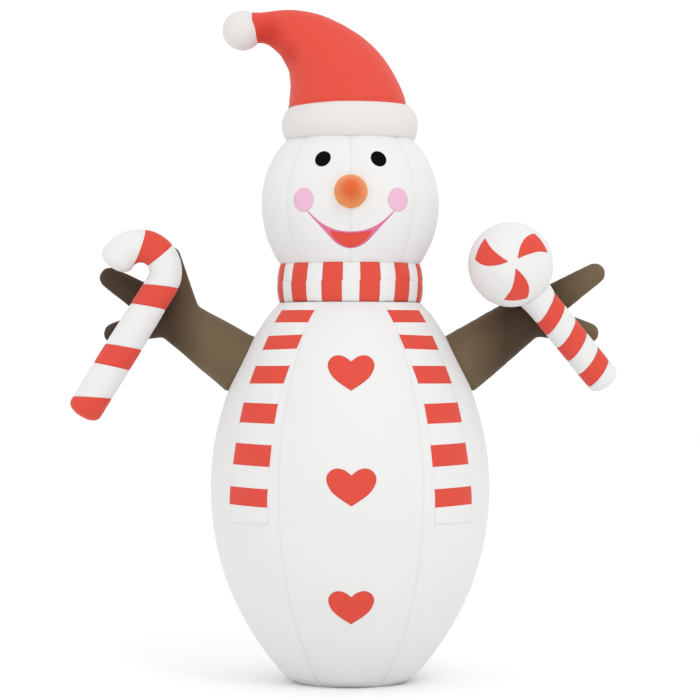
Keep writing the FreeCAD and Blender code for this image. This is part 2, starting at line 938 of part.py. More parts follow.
def make_blower():
    housing = turned(
        "housing",
        [
            ("fan_radius - fan_wall", "fan_radius", "grille_thick", "fan_length - grille_thick"),
        ],
    )
    lip = new_body("lip")
    revolve(
        lip,
        ring(("fan_radius - fan_wall / 2", "fan_lip", "grille_thick", "grille_thick + fan_lip_width")),
    )
    lip.Placement = fan_place("0")
    keep(fuse("housing_parts", [housing, lip]), "blower_housing")
    make_guard("blower_inlet_grille", "0")
    make_guard("blower_outlet_guard", "fan_length - grille_thick")

    motor = turned(
        "motor",
        [
            ("0", "motor_radius", "motor_start", "motor_start + motor_length"),
        ],
    )
    shaft = primitive(
        "Cylinder",
        "shaft",
        fan_place("shaft_start"),
        Radius="shaft_radius",
        Height="motor_start - shaft_start + fan_wall",
    )
    keep(fuse("motor_parts", [motor, shaft]), "blower_motor")

    mount = turned(
        "struts",
        [
            ("motor_radius + lift", "motor_radius + fan_wall", "strut_start", "strut_start + strut_ring"),
            (
                "fan_radius - fan_wall * 2",
                "fan_radius - fan_wall - lift",
                "strut_start",
                "strut_start + strut_ring",
            ),
        ],
    )
    add_spokes(
        mount,
        "motor_radius + fan_wall / 2",
        "fan_radius - fan_wall * 1.5",
        "fan_wall * 2",
        "strut_start + strut_inset",
        "strut_start + strut_ring - strut_inset",
        "strut_count",
    )
    keep(mount, "blower_motor_struts")

    impeller = turned(
        "impeller",
        [
            (
                "shaft_radius + shaft_clearance",
                "hub_radius",
                "impeller_start",
                "impeller_start + impeller_width",
            ),
            (
                "hub_radius - blade_thick",
                "impeller_radius",
                "impeller_start + impeller_width - impeller_plate",
                "impeller_start + impeller_width",
            ),
        ],
    )
    add_spokes(
        impeller,
        "hub_radius - blade_thick",
        "impeller_radius",
        "blade_thick",
        "impeller_start",
        "impeller_start + impeller_width - impeller_plate / 2",
        "blade_count",
    )
    keep(impeller, "blower_impeller")

    gland_side = Placement(Vector(0, size("fan_lip - gland_inset"), 0), Rotation(Vector(1, 0, 0), 180))
    gland_place = fan_place("grille_thick") * gland_side
    nut = primitive("Cylinder", "gland_nut", gland_place, Radius="gland_radius", Height="gland_length")
    hole = primitive("Cylinder", "gland_hole", gland_place, Radius="gland_bore", Height="gland_length")
    keep(cut("gland", nut, hole), "lead_gland")

    cuff = turned("cuff", [("fan_radius + lift", "fan_radius + lift + skin", "fan_cuff", "fan_length")])
    keep(cut("cuff_trim", cuff, core("cuff_seat", BODY_LINE)), "blower_cuff")
    strap = turned(
        "cuff_strap",
        [
            (
                "fan_radius + lift * 2 + skin",
                "fan_radius + lift * 2 + skin * 2",
                "cuff_strap_start",
                "cuff_strap_start + cuff_strap_width",
            ),
        ],
    )
    keep(strap, "cuff_strap")


# ---------------------------------------------------------------- deflation zip
def pin_place():
    """The zip pull's pin, at the middle of its length."""
    return Vector(0, size("pin_out"), size("zip_low + slider_length / 2 + pin_up"))


def along_x(middle, length):
    return towards(middle - Vector(size(length) / 2, 0, 0), middle + Vector(1, 0, 0))


def make_zip():
    placket = box(
        "placket",
        ("-zip_strip / 2", "zip_face - placket_depth", "zip_low - zip_hem"),
        "zip_strip",
        "placket_depth",
        "zip_length + zip_hem * 2",
    )
    keep(cut("placket_trim", placket, core("placket_seat", BODY_LINE)), "zip_placket")
    chain = box(
        "chain", ("-chain_width / 2", "zip_face", "zip_low"), "chain_width", "chain_rise", "zip_length"
    )
    stops = [
        box("stop", ("-slider_width / 2", "zip_face", height), "slider_width", "chain_rise", "stop_length")
        for height in ("zip_low - stop_length - stop_gap", "zip_low + zip_length + stop_gap")
    ]
    keep(group("chain_parts", [chain, *stops]), "zip_chain")
    block = box(
        "slider_block",
        ("-slider_width / 2", "zip_face + slider_gap", "zip_low + slider_gap"),
        "slider_width",
        "slider_depth",
        "slider_length",
    )
    groove = box(
        "slider_groove",
        ("-chain_width / 2 - slider_gap", "zip_face", "zip_low"),
        "chain_width + slider_gap * 2",
        "chain_rise + slider_gap",
        "slider_length * 2",
    )
    ears = [
        box(
            "slider_ear",
            (edge, "zip_face + slider_depth - ear_sink", "zip_low + slider_length / 2"),
            "ear_width",
            "ear_depth",
            "ear_length",
        )
        for edge in ("-slider_width / 2", "slider_width / 2 - ear_width")
    ]
    pin = primitive(
        "Cylinder",
        "slider_pin",
        along_x(pin_place(), "slider_width"),
        Radius="pin_radius",
        Height="slider_width",
    )
    keep(fuse("slider_parts", [cut("slider_body", block, groove), *ears, pin]), "zip_slider")

    eye = primitive(
        "Cylinder",
        "pull_eye",
        along_x(pin_place(), "pull_width"),
        Radius="pin_radius + eye_wall",
        Height="pull_width",
    )
    strip = box(
        "pull_strip",
        ("-pull_width / 2", "pin_out - pull_thick / 2", "zip_low + slider_length / 2 + pin_up - pull_length"),
        "pull_width",
        "pull_thick",
        "pull_length",
    )
    hole = primitive(
        "Cylinder",
        "pull_hole",
        along_x(pin_place(), "slider_width"),
        Radius="pin_radius + pin_clearance",
        Height="slider_width",
    )
    keep(cut("pull", fuse("pull_parts", [eye, strip]), hole), "zip_pull")


# ---------------------------------------------------------------- tie-down tabs
def tab_and_eyelet(name, place):
    """A webbing tab along +X lying on its local floor, and the brass eyelet near its end."""
    across = Placement(Vector(0, -size("tab_width") / 2, 0), Rotation())
    strip = primitive("Box", f"{name}_strip", Length="tab_length", Width="tab_width", Height="tab_thick")
    strip.Placement = place * across
    middle = place * Placement(Vector(size("tab_length - tab_width / 2"), 0, 0), Rotation())
    hole = primitive(
        "Cylinder", f"{name}_hole", middle, Radius="eyelet_bore + tab_hole_wall", Height="tab_thick"
    )
    barrel = primitive(
        "Cylinder",
        f"{name}_barrel",
        middle,
        Radius="eyelet_bore + barrel_wall",
        Height="tab_thick + barrel_rise",
    )
    flange = primitive(
        "Cylinder",
        f"{name}_flange",
        middle * Placement(Vector(0, 0, size("tab_thick")), Rotation()),
        Radius="eyelet_flange",
        Height="flange_thick",
    )
    bore = primitive("Cylinder", f"{name}_bore", middle, Radius="eyelet_bore", Height="tab_thick * 2")
    eyelet = cut(f"{name}_eyelet", fuse(f"{name}_metal", [barrel, flange]), bore)
    return cut(f"{name}_tab", strip, hole), eyelet


def make_tabs():
    hem = []
    for azimuth in (130, 160, -160, -130):
        place = about_z(azimuth) * Placement(Vector(size("tab_start"), 0, 0), Rotation())
        hem.append(tab_and_eyelet("stake", place))
    back = []
    for azimuth in (150, -150):
        start = Vector(size("tether_start"), -size("tab_thick") / 2, size("tether_height"))
        upright = Placement(start, Rotation(Vector(1, 0, 0), -90))
        back.append(tab_and_eyelet("tether", about_z(azimuth) * upright))
    for name, pieces in (("stake", hem), ("tether", back)):
        keep(group(f"{name}_tabs", [tab for tab, _ in pieces]), f"{name}_tabs")
        keep(group(f"{name}_eyelets", [eyelet for _, eyelet in pieces]), f"{name}_eyelets")


# ---------------------------------------------------------------- lamps and ballast
def make_inside():
    strap = box(
        "strap",
        ("-strap_width / 2", "-strap_thick / 2", "strap_low"),
        "strap_width",
        "strap_thick",
        "head_height",
    )
    keep(strap, "lamp_strap")
    housings, lenses = [], []
    for height in ("lamp_low", "lamp_middle", "lamp_high"):
        start = Vector(0, -size("strap_thick"), size(height))
        place = towards(start, start + Vector(0, -1, 0))
        housings.append(primitive("Cylinder", "lamp", place, Radius="lamp_radius", Height="lamp_length"))
        lens_place = place * Placement(Vector(0, 0, size("lamp_length + lift")), Rotation())
        lenses.append(primitive("Cylinder", "lens", lens_place, Radius="lamp_radius", Height="lens_depth"))
    keep(group("lamps", housings), "lamp_housings")
    keep(group("lenses", lenses), "lamp_lenses")
    bags = []
    for azimuth in (0, 120, -120):
        bag = primitive("Box", "bag", Length="ballast_width", Width="ballast_length", Height="ballast_depth")
        low = Vector(size("ballast_start"), -size("ballast_length") / 2, size("skin + lift"))
        bag.Placement = about_z(azimuth) * Placement(low, Rotation())
        soft = doc.addObject("Part::Fillet", "soft_bag")
        soft.Base = bag
        radius = size("ballast_round")
        soft.Edges = [(edge, radius, radius) for edge in range(1, 13)]
        bags.append(soft)
    keep(group("bags", bags), "ballast_bags")


def save():
    doc.recompute()
    for item in doc.Objects:
        if "Invalid" in item.State or "Error" in item.State:
            raise SystemExit(f"{item.Name} ({item.Label}) failed: {item.State}")
    os.makedirs("parts", exist_ok=True)
    for item in subparts:
        shape = item.Shape
        if shape.isNull() or not shape.isValid() or not shape.Solids:
            raise SystemExit(f"{item.Label} has no valid solid")
        shape.exportStep(f"parts/{item.Label}.step")
        print(f"{item.Label}: {len(shape.Solids)} solids, {shape.Volume / 1e6:.3f} litres")


make_body()
make_head()
make_collar()
make_tails()
make_hat()
make_face()
make_nose()
make_hearts()
make_arms()
make_cane()
make_lollipop()
make_blower()
make_zip()
make_tabs()
make_inside()
save()
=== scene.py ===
"""Looks of the inflatable yard snowman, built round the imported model.

Metres, +Z up, the front faces -Y.  Azimuths run from the front towards +X, in radians.
"""
import contextlib
import math

import bmesh
import bpy
import numpy as np
from mathutils import Matrix, Vector


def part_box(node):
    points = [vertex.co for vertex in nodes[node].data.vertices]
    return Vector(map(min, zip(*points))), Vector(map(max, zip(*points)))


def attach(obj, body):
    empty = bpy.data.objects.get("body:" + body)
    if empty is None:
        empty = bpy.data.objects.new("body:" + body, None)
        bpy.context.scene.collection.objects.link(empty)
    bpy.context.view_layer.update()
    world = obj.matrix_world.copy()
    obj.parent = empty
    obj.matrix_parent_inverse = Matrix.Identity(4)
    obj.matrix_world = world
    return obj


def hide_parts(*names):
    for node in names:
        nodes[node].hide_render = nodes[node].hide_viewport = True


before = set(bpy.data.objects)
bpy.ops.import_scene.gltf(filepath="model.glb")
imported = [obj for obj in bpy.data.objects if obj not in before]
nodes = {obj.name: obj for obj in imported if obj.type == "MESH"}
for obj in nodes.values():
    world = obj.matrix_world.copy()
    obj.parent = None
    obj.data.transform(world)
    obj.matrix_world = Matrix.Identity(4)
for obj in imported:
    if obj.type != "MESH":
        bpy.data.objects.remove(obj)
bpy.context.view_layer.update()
FULL = 2 * math.pi
SKIN = "skin"
WELD = 1e-5


# ---- materials
def add(tree, kind, values=None, **settings):
    """A shader node; a value that is a socket is linked and any other is set."""
    item = tree.nodes.new(f"ShaderNode{kind}")
    for name, value in settings.items():
        setattr(item, name, value)
    for name, value in (values or {}).items():
        if isinstance(value, bpy.types.NodeSocket):
            tree.links.new(value, item.inputs[name])
        else:
            item.inputs[name].default_value = value
    return item


def maths(tree, operation, first, second=0.0):
    return add(tree, "Math", {0: first, 1: second}, operation=operation).outputs[0]


def blended(tree, share, first, second, kind="MIX"):
    """Colours mixed by a share."""
    given = {0: share, 6: first, 7: second}
    return add(tree, "Mix", given, data_type="RGBA", blend_type=kind).outputs[2]


def noise(tree, place, scale, detail=3.0):
    return add(tree, "TexNoise", {"Vector": place, "Scale": scale, "Detail": detail}).outputs[0]


def ramp(tree, value, low, high, start, end):
    """The value's run from low to high turned into start to end."""
    given = {0: value, 1: low, 2: high, 3: start, 4: end}
    return add(tree, "MapRange", given, clamp=True).outputs[0]


def shader(name, roughness, **fixed):
    """A new material: its tree, its main shader and its object coordinates."""
    material = bpy.data.materials.new(name)
    material.use_nodes = True
    tree = material.node_tree
    main = tree.nodes["Principled BSDF"]
    main.inputs["Roughness"].default_value = roughness
    for key, value in fixed.items():
        main.inputs[key.replace("_", " ")].default_value = value
    place = add(tree, "TexCoord").outputs["Object"]
    return material, tree, main, place


def finish(tree, main, tone, height, strength, distance):
    """Gives the main shader its colour and its relief."""
    bump = add(tree, "Bump", {"Strength": strength, "Distance": distance, "Height": height})
    tree.links.new(tone, main.inputs["Base Color"])
    tree.links.new(bump.outputs[0], main.inputs["Normal"])


def tinted(colour, share):
    return (*[c * share for c in colour], 1)


THREAD = 0.0016
STITCH_FROM_SEAM, STITCH_WIDE, STITCH_PITCH = 0.013, 0.0012, 0.009
# how far from a seam the cloth is painted darker, a painted shade in the seam's crease
SEAM_SHADE_WIDE = 0.006


def fabric(name, colour, uneven=0.02, rough=0.62, stitched=True, painted_light_tone=None, pile=0.0, shine=0.2):
    """Sewn polyester: woven threads, soft creases, a row of stitches beside each seam.

    A second colour, for painted light and shade, is laid where the "reach" attribute is low; pile is
    the height of a plush's tufts.
    """
    material, tree, main, place = shader(
        name, rough, Sheen_Weight=shine * 0.3, Sheen_Roughness=0.45, Specular_IOR_Level=shine
    )
    cloth = add(tree, "UVMap", uv_map="cloth").outputs[0]
    given = {"Vector": cloth, "Scale": math.pi / 10 / THREAD}
    waves = [add(tree, "TexWave", given, bands_direction=way).outputs["Fac"] for way in "XY"]
    height = maths(tree, "MULTIPLY", maths(tree, "MULTIPLY", *waves), 0.04 * (1 - pile))
    if pile:
        tufts = noise(tree, place, 260, 2)
        height = maths(tree, "ADD", height, maths(tree, "MULTIPLY", tufts, pile))
    creases = noise(tree, place, 7, 4)
    height = maths(tree, "ADD", height, maths(tree, "MULTIPLY", creases, 0.5))
    shade = noise(tree, place, 1.7, 5)
    tone = blended(tree, shade, tinted(colour, 1 - uneven), tinted(colour, 1 + uneven))
    # painted light and shade: the second colour is painted where "reach" is low
    if painted_light_tone:
        reach = add(tree, "Attribute", attribute_name="reach").outputs["Fac"]
        tone = blended(tree, ramp(tree, reach, 0.15, 0.95, 0, 1), tinted(painted_light_tone, 1), tone)
    if stitched:
        seam = add(tree, "UVMap", uv_map="seam").outputs[0]
        parts = add(tree, "SeparateXYZ", {0: seam})
        away, along = parts.outputs[0], parts.outputs[1]
        off = maths(tree, "ABSOLUTE", maths(tree, "SUBTRACT", away, STITCH_FROM_SEAM))
        row = maths(tree, "LESS_THAN", off, STITCH_WIDE)
        stitches = maths(tree, "FRACT", maths(tree, "DIVIDE", along, STITCH_PITCH))
        dash = maths(tree, "LESS_THAN", stitches, 0.6)
        stitch = maths(tree, "MULTIPLY", row, dash)
        height = maths(tree, "ADD", height, maths(tree, "MULTIPLY", stitch, 0.25))
        # painted shade: up to a tenth darker towards the seam, where its crease lies in shade
        fold = ramp(tree, away, 0, SEAM_SHADE_WIDE, 0.9, 1)
        tone = blended(tree, 1.0, tone, fold, "MULTIPLY")
        tone = blended(tree, maths(tree, "MULTIPLY", stitch, 0.3), tone, tinted(colour, 0.7))
    finish(tree, main, tone, height, 0.5, 0.002)
    return material


def hard(name, colour, roughness, grain=400, metal=0.0, worn=0.12, depth=0.0003):
    """Moulded plastic or metal: fine grain, slight mottling and a roughness that varies."""
    material, tree, main, place = shader(name, roughness, Metallic=metal)
    mottle = noise(tree, place, 9, 5)
    tone = blended(tree, mottle, tinted(colour, 1 - worn), tinted(colour, 1 + worn))
    patches = noise(tree, place, 30, 3)
    rough = ramp(tree, patches, 0.3, 0.7, roughness * 0.8, min(1, roughness * 1.2))
    tree.links.new(rough, main.inputs["Roughness"])
    finish(tree, main, tone, noise(tree, place, grain, 2), 0.4, depth)
    return material


RIB_PITCH = 0.0025


def woven(name, colour):
    """Heavy webbing: a diagonal rib over the threads."""
    material, tree, main, place = shader(name, 0.75, Sheen_Weight=0.2)
    given = {"Vector": place, "Scale": math.pi / 10 / RIB_PITCH}
    rib = add(tree, "TexWave", given, bands_direction="DIAGONAL").outputs["Fac"]
    tone = blended(tree, rib, tinted(colour, 0.75), tinted(colour, 1.1))
    finish(tree, main, tone, rib, 0.6, 0.0008)
    return material


WHITE = fabric("white_polyester", (0.735, 0.735, 0.73))
RED = fabric("red_polyester", (0.665, 0.066, 0.043))
# the hat's second colour is a painted shade, a darker red where the cloth gathers on the inner side
# of the bend
HAT_RED = fabric("hat_polyester", (0.68, 0.068, 0.044), painted_light_tone=(0.56, 0.036, 0.021))
# the arms' brown in two painted tones of light and shade: the lit brown near the body, and as base
# colour a shaded brown for the hands
BROWN_LIT = (0.150, 0.105, 0.060)
BROWN = fabric("brown_polyester", (0.062, 0.040, 0.024), uneven=0.05, painted_light_tone=BROWN_LIT, shine=0.1)
# the nose's second colour is a painted shade, a darker orange near its middle line and tip
ORANGE = fabric("orange_polyester", (0.78, 0.29, 0.09), painted_light_tone=(0.70, 0.115, 0.022))
PINK = fabric("pink_polyester", (0.745, 0.44, 0.585))
ROSE = fabric("rose_polyester", (0.66, 0.15, 0.29))
BLACK = fabric("black_polyester", (0.003, 0.003, 0.003), stitched=False, shine=0.02)
PLUSH = fabric("white_fleece", (0.70, 0.675, 0.665), rough=0.85, stitched=False, pile=0.12)
PLASTIC = hard("black_plastic", (0.02, 0.02, 0.022), 0.45)
DARK_PLASTIC = hard("grey_plastic", (0.06, 0.062, 0.065), 0.5)
STEEL = hard("steel", (0.42, 0.43, 0.45), 0.35, 900, 1.0, 0.08, 0.0001)
BRASS = hard("brass", (0.62, 0.46, 0.20), 0.32, 900, 1.0, 0.1, 0.0001)
NYLON = hard("nylon", (0.72, 0.72, 0.71), 0.5, 600)
WEBBING = woven("white_webbing", (0.55, 0.55, 0.54))
BLACK_WEBBING = woven("black_webbing", (0.03, 0.03, 0.032))
LENS = hard("lamp_lens", (0.80, 0.79, 0.74), 0.15)


# ---- shapes
def ripple(x, y, seed):
    """Smooth unevenness between about -1 and 1, with features one unit across."""
    dice = np.random.default_rng(seed)
    total = 0
    for _ in range(7):
        turn, phase = dice.uniform(0, FULL, 2)
        pace = dice.uniform(1.8, 5.2)
        total = total + np.sin((x * math.cos(turn) + y * math.sin(turn)) * pace + phase)
    return total / 3.5


def bell(value, wide):
    """1 where the value is 0, falling off smoothly on both sides."""
    return np.exp(-((value / wide) ** 2))


def circle(count):
    return np.linspace(0, FULL, count, endpoint=False)


def running(gaps):
    """Distances along a line, from the gaps between its points."""
    return np.concatenate([[0], np.cumsum(gaps)])


def crowned(share):
    """0 at both ends and 1 in the middle."""
    return 4 * share * (1 - share)


def read(vertices, what="co"):
    """One row of three numbers for each vertex: its place, or its normal."""
    flat = np.empty(len(vertices) * 3)
    vertices.foreach_get(what, flat)
    return flat.reshape(-1, 3)


def placed(name, data):
    """A new object in the scene."""
    item = bpy.data.objects.new(name, data)
    bpy.context.scene.collection.objects.link(item)
    return item


@contextlib.contextmanager
def edited(item):
    """The item's mesh, open for editing."""
    form = bmesh.new()
    form.from_mesh(item.data)
    yield form
    form.to_mesh(item.data)
    form.free()


def piece(name, points, faces, material, replaces, uvs=None):
    """A mesh that rides on the skin and stands for CAD nodes.  uvs holds one pair per vertex."""
    mesh = bpy.data.meshes.new(name)
    mesh.from_pydata([tuple(p) for p in points], [], [tuple(f) for f in faces])
    corners = np.empty(len(mesh.loops), int)
    mesh.loops.foreach_get("vertex_index", corners)
    for layer, values in (uvs or {}).items():
        mesh.uv_layers.new(name=layer).data.foreach_set("uv", values[corners].ravel())
    mesh.shade_smooth()
    mesh.materials.append(material)
    item = placed(name, mesh)
    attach(item, SKIN)
    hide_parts(*replaces)
    return item


class Patches:
    """Grids of points gathered into one mesh, each with its own cloth and seam coordinates."""

    def __init__(self):
        self.points, self.faces, self.cloth, self.seam, self.count = [], [], [], [], 0

    def grid(self, points, away=None, along=None, closed=False):
        """Rows run upward and columns to the right, seen from outside."""
        if closed:
            points = np.concatenate([points, points[:, :1]], axis=1)
            if away is not None:
                away, along = (np.concatenate([a, a[:, :1]], axis=1) for a in (away, along))
        rows, columns = points.shape[:2]
        across = np.linalg.norm(np.diff(points, axis=1), axis=2).mean(0)
        upward = np.linalg.norm(np.diff(points, axis=0), axis=2).mean(1)
        u, v = np.meshgrid(running(across), running(upward))
        if away is None:
            away, along = np.ones_like(u), v
        index = self.count + np.arange(rows * columns).reshape(rows, columns)
        corners = (index[:-1, :-1], index[:-1, 1:], index[1:, 1:], index[1:, :-1])
        self.faces.append(np.stack(corners, axis=-1).reshape(-1, 4))
        self.points.append(points.reshape(-1, 3))
        self.cloth.append(np.stack([u, v], axis=-1).reshape(-1, 2))
        self.seam.append(np.stack([away, along], axis=-1).reshape(-1, 2))
        self.count += rows * columns
        return self

    def make(self, name, material, replaces, slot):
        """One piece of all the grids, with the points that meet welded."""
        uvs = {"cloth": np.concatenate(self.cloth), "seam": np.concatenate(self.seam)}
        points, faces = np.concatenate(self.points), np.concatenate(self.faces)
        item = piece(name, points, faces, material, replaces, uvs)
        with edited(item) as form:
            bmesh.ops.remove_doubles(form, verts=form.verts, dist=WELD)
        return item


class Turned:
    """A skin of sewn panels round the Z axis, on the outer line of a CAD node.

    first is a seam's azimuth.  puff, groove and PUCKER are how far the panels stand out, how deep
    the seams lie and how high their folds are.  The swelling fades out near both ends.
    """

    STEP = 0.004
    PUCKER = 0.0015

    def __init__(self, name, panels, first, puff, soften, fade, groove=0.003):
        vertices = read(nodes[name].data.vertices)
        spots = {(round(z, 4), round(math.hypot(x, y), 4)) for x, y, z in vertices}
        line = []
        for z, r in sorted(spots):
            while len(line) > 1:
                (z0, r0), (z1, r1) = line[-2:]
                if (z1 - z0) * (r - r0) < (r1 - r0) * (z - z0):
                    break
                line.pop()
            line.append((z, r))
        line = np.array(line)
        run = running(np.hypot(*np.diff(line, axis=0).T))
        even = np.linspace(0, run[-1], round(run[-1] / self.STEP) + 1)
        reach = round(3 * soften / self.STEP)
        weights = np.exp(-0.5 * (np.arange(-reach, reach + 1) * self.STEP / soften) ** 2)
        smooth = []
        for i in (0, 1):
            raw = np.interp(even, run, line[:, i])
            ends = (2 * raw[0] - raw[reach:0:-1], raw, 2 * raw[-1] - raw[-2 : -reach - 2 : -1])
            smooth.append(np.convolve(np.concatenate(ends), weights / weights.sum(), "valid"))
        self.z, self.r = smooth
        self.run, self.length = even, even[-1]
        self.out, self.up = np.gradient(self.z), -np.gradient(self.r)
        size = np.hypot(self.out, self.up)
        self.out, self.up = self.out / size, self.up / size
        self.panels, self.first, self.fade = panels, first, fade
        self.puff, self.groove = puff, groove

    def at_height(self, height, values):
        return np.interp(height, self.z, values)

    def heights(self, count, low=-math.inf, high=math.inf):
        """Heights spaced evenly along the line."""
        ends = np.interp((low, high), self.z, self.run)
        return np.interp(np.linspace(*ends, count), self.run, self.z)

    def seam_distance(self, azimuth, height):
        pitch = FULL / self.panels
        share = (azimuth - self.first) / pitch % 1
        return np.minimum(share, 1 - share) * pitch * self.at_height(height, self.r)

    def swell(self, azimuth, height):
        """How far the inflated panel stands out from the line."""
        pitch = FULL / self.panels
        share = (azimuth - self.first) / pitch % 1
        away = self.seam_distance(azimuth, height)
        run = self.at_height(height, self.run)
        end = np.clip(np.minimum(run, self.length - run) / self.fade, 0, 1)
        bulge = crowned(share) - 0.35
        side = np.round((azimuth - self.first) / pitch) % self.panels
        folds = ripple(run / 0.11 + side * 7, away / 0.3, 3) * np.exp(-away / 0.06)
        drift = ripple(np.sin(azimuth) * self.r.max() / 0.5, run / 0.5 + np.cos(azimuth) * 2, 5)
        crease = bell(away, 0.007)
        gather = 1 + 0.8 * np.exp(-np.minimum(run, self.length - run) / 0.35)
        wide = self.puff * bulge * gather + 0.0022 * drift + self.PUCKER * gather * folds
        return wide * end - self.groove * crease

    def at(self, azimuth, height, lift=0.0):
        """Points on the inflated skin, raised by lift."""
        azimuth, height = np.broadcast_arrays(azimuth, height)
        rise = self.swell(azimuth, height) + lift
        radius = self.at_height(height, self.r) + rise * self.at_height(height, self.out)
        up = height + rise * self.at_height(height, self.up)
        return np.stack([radius * np.sin(azimuth), -radius * np.cos(azimuth), up], axis=-1)

    def from_front(self, side, height, lift=0.0, back=False):
        """Points on the skin that show at (side, height) from the front, or from the back."""
        side, height = np.broadcast_arrays(side, height)
        azimuth = np.zeros(side.shape)
        up = height.copy()
        for _ in range(6):
            point = self.at(azimuth, up, lift)
            radius = np.hypot(point[..., 0], point[..., 1])
            azimuth = np.arcsin(np.clip(side / radius, -0.999, 0.999))
            up = up + (height - point[..., 2])
        if back:
            azimuth = math.pi - azimuth
        return self.at(azimuth, up, lift)


def crowded(count, edge=0.3):
    """Shares from 0 to 1 that lie closer together near both ends."""
    even = np.linspace(0, 1, count)
    return (1 - edge) * (0.5 - 0.5 * np.cos(even * math.pi)) + edge * even


def middle_azimuth(name):
    x, y, _ = read(nodes[name].data.vertices).mean(0)
    return math.atan2(x, -y)


def curve_through(corners, count):
    """A smooth line through the corners, evenly spaced."""
    corners = np.array(corners, float)
    before, after = 2 * corners[0] - corners[1], 2 * corners[-1] - corners[-2]
    spread = np.concatenate([[before], corners, [after]])
    line = []
    for i in range(len(corners) - 1):
        a, b, c, d = spread[i : i + 4]
        square, cube = 2 * a - 5 * b + 4 * c - d, 3 * b - a - 3 * c + d
        for t in np.linspace(0, 1, 16, endpoint=False):
            line.append(0.5 * (2 * b + (c - a) * t + square * t**2 + cube * t**3))
    line.append(corners[-1])
    line = np.array(line)
    run = running(np.linalg.norm(np.diff(line, axis=0), axis=1))
    even = np.linspace(0, run[-1], count)
    return np.stack([np.interp(even, run, line[:, i]) for i in range(line.shape[1])], axis=-1)


# ---- body, head and scarf collar
BODY = Turned("body_gore_front", 6, math.pi / 6, puff=0.013, soften=0.035, fade=0.1)
HEAD = Turned("head_gore_face_left", 8, 0, puff=0.013, groove=0.002, soften=0.02, fade=0.22)
COLLAR = Turned("collar_white_panels", 24, math.pi / 24, puff=0.006, soften=0.012, fade=0.03)
BAND = Turned("hat_band", 2, math.pi / 2, puff=0.002, groove=0.002, soften=0.012, fade=0.03)


def gore(skin, node, columns, rows):
    """One sewn panel, from seam to seam."""
    half = math.pi / skin.panels
    turn = (middle_azimuth(node) - skin.first - half) / (2 * half)
    middle = skin.first + half + round(turn) * 2 * half
    azimuth, height = np.meshgrid(middle + half * (2 * crowded(columns) - 1), skin.heights(rows))
    away = skin.seam_distance(azimuth, height)
    run = skin.at_height(height, skin.run)
    return Patches().grid(skin.at(azimuth, height), away, run)


def open_round(item, middle, radius):
    """Cuts a round opening along Y and draws its rim into a circle."""

    def off(vert):
        return math.hypot(vert.co.x - middle.x, vert.co.z - middle.z)

    with edited(item) as form:
        same_side = [v for v in form.verts if (v.co.y > 0) == (middle.y > 0)]
        inside = [v for v in same_side if off(v) < radius]
        near = {v for v in same_side if radius <= off(v) < radius * 1.5}
        bmesh.ops.delete(form, geom=inside, context="VERTS")
        for vert in form.verts:
            if vert in near and vert.is_boundary:
                share = radius / off(vert)
                vert.co.x = middle.x + (vert.co.x - middle.x) * share
                vert.co.z = middle.z + (vert.co.z - middle.z) * share


SLEEVE_OVERLAP = 0.003
for kind, skin, columns, rows in (("body_gore", BODY, 45, 230), ("head_gore", HEAD, 37, 96)):
    for node in sorted(n for n in nodes if n.startswith(kind)):
        item = gore(skin, node, columns, rows).make(f"{node}_panel", WHITE, [node], "white_fabric")
        if node == "body_gore_rear":
            low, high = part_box("blower_cuff")
            open_round(item, (low + high) / 2, (high.x - low.x) / 2 - SLEEVE_OVERLAP)

foot = BODY.at_height(BODY.z[0], BODY.r)
shares, turns = np.meshgrid(np.linspace(1, 0.02, 24), circle(96), indexing="ij")
rise = 0.002 + 0.0012 * ripple(turns * 6, shares * 4, 11) * shares
base = np.stack([foot * shares * np.sin(turns), -foot * shares * np.cos(turns), rise], axis=-1)
base = Patches().grid(base[::-1], foot * (1 - shares[::-1]), turns[::-1] * foot, closed=True)
base.make("base_panel", WHITE, ["base_disc"], "white_fabric")

# the collar has two rows of panels, and the upper row is turned a little against the lower one
MIDDLE_SEAM = 3.150
ROW_SHIFT = 0.012
COLLAR_PITCH = 30
for colour, first, half_width, material in (("red", 15, 8.2, RED), ("white", 0, 6.8, WHITE)):
    panels = Patches()
    half = math.radians(half_width)
    for i in range(12):
        for ends, shift in (((-math.inf, MIDDLE_SEAM), 0.0), ((MIDDLE_SEAM, math.inf), ROW_SHIFT)):
            middle = math.radians(first + COLLAR_PITCH * i) + shift
            levels = COLLAR.heights(15, *ends)
            side, height = np.meshgrid(half * (2 * crowded(15) - 1), levels)
            across = 1 - (side / half) ** 2
            tier = (height - levels[0]) / (levels[-1] - levels[0])
            upward = 1 - (2 * tier - 1) ** 4
            puff = 0.007 * across * upward - 0.004 + 0.0008 * ripple(side / 0.05, height / 0.05, i)
            puff = puff - COLLAR.swell(middle + side, height)
            points = COLLAR.at(middle + side, height, puff)
            away = np.minimum(half - abs(side), 1) * 0.57
            panels.grid(points, away, height)
    name = f"collar_{colour}_rows"
    item = panels.make(name, material, [f"collar_{colour}_panels"], f"{colour}_fabric")


# ---- sewn-on shapes
# an edge is turned in this far below the skin
TURNED_IN = -0.001


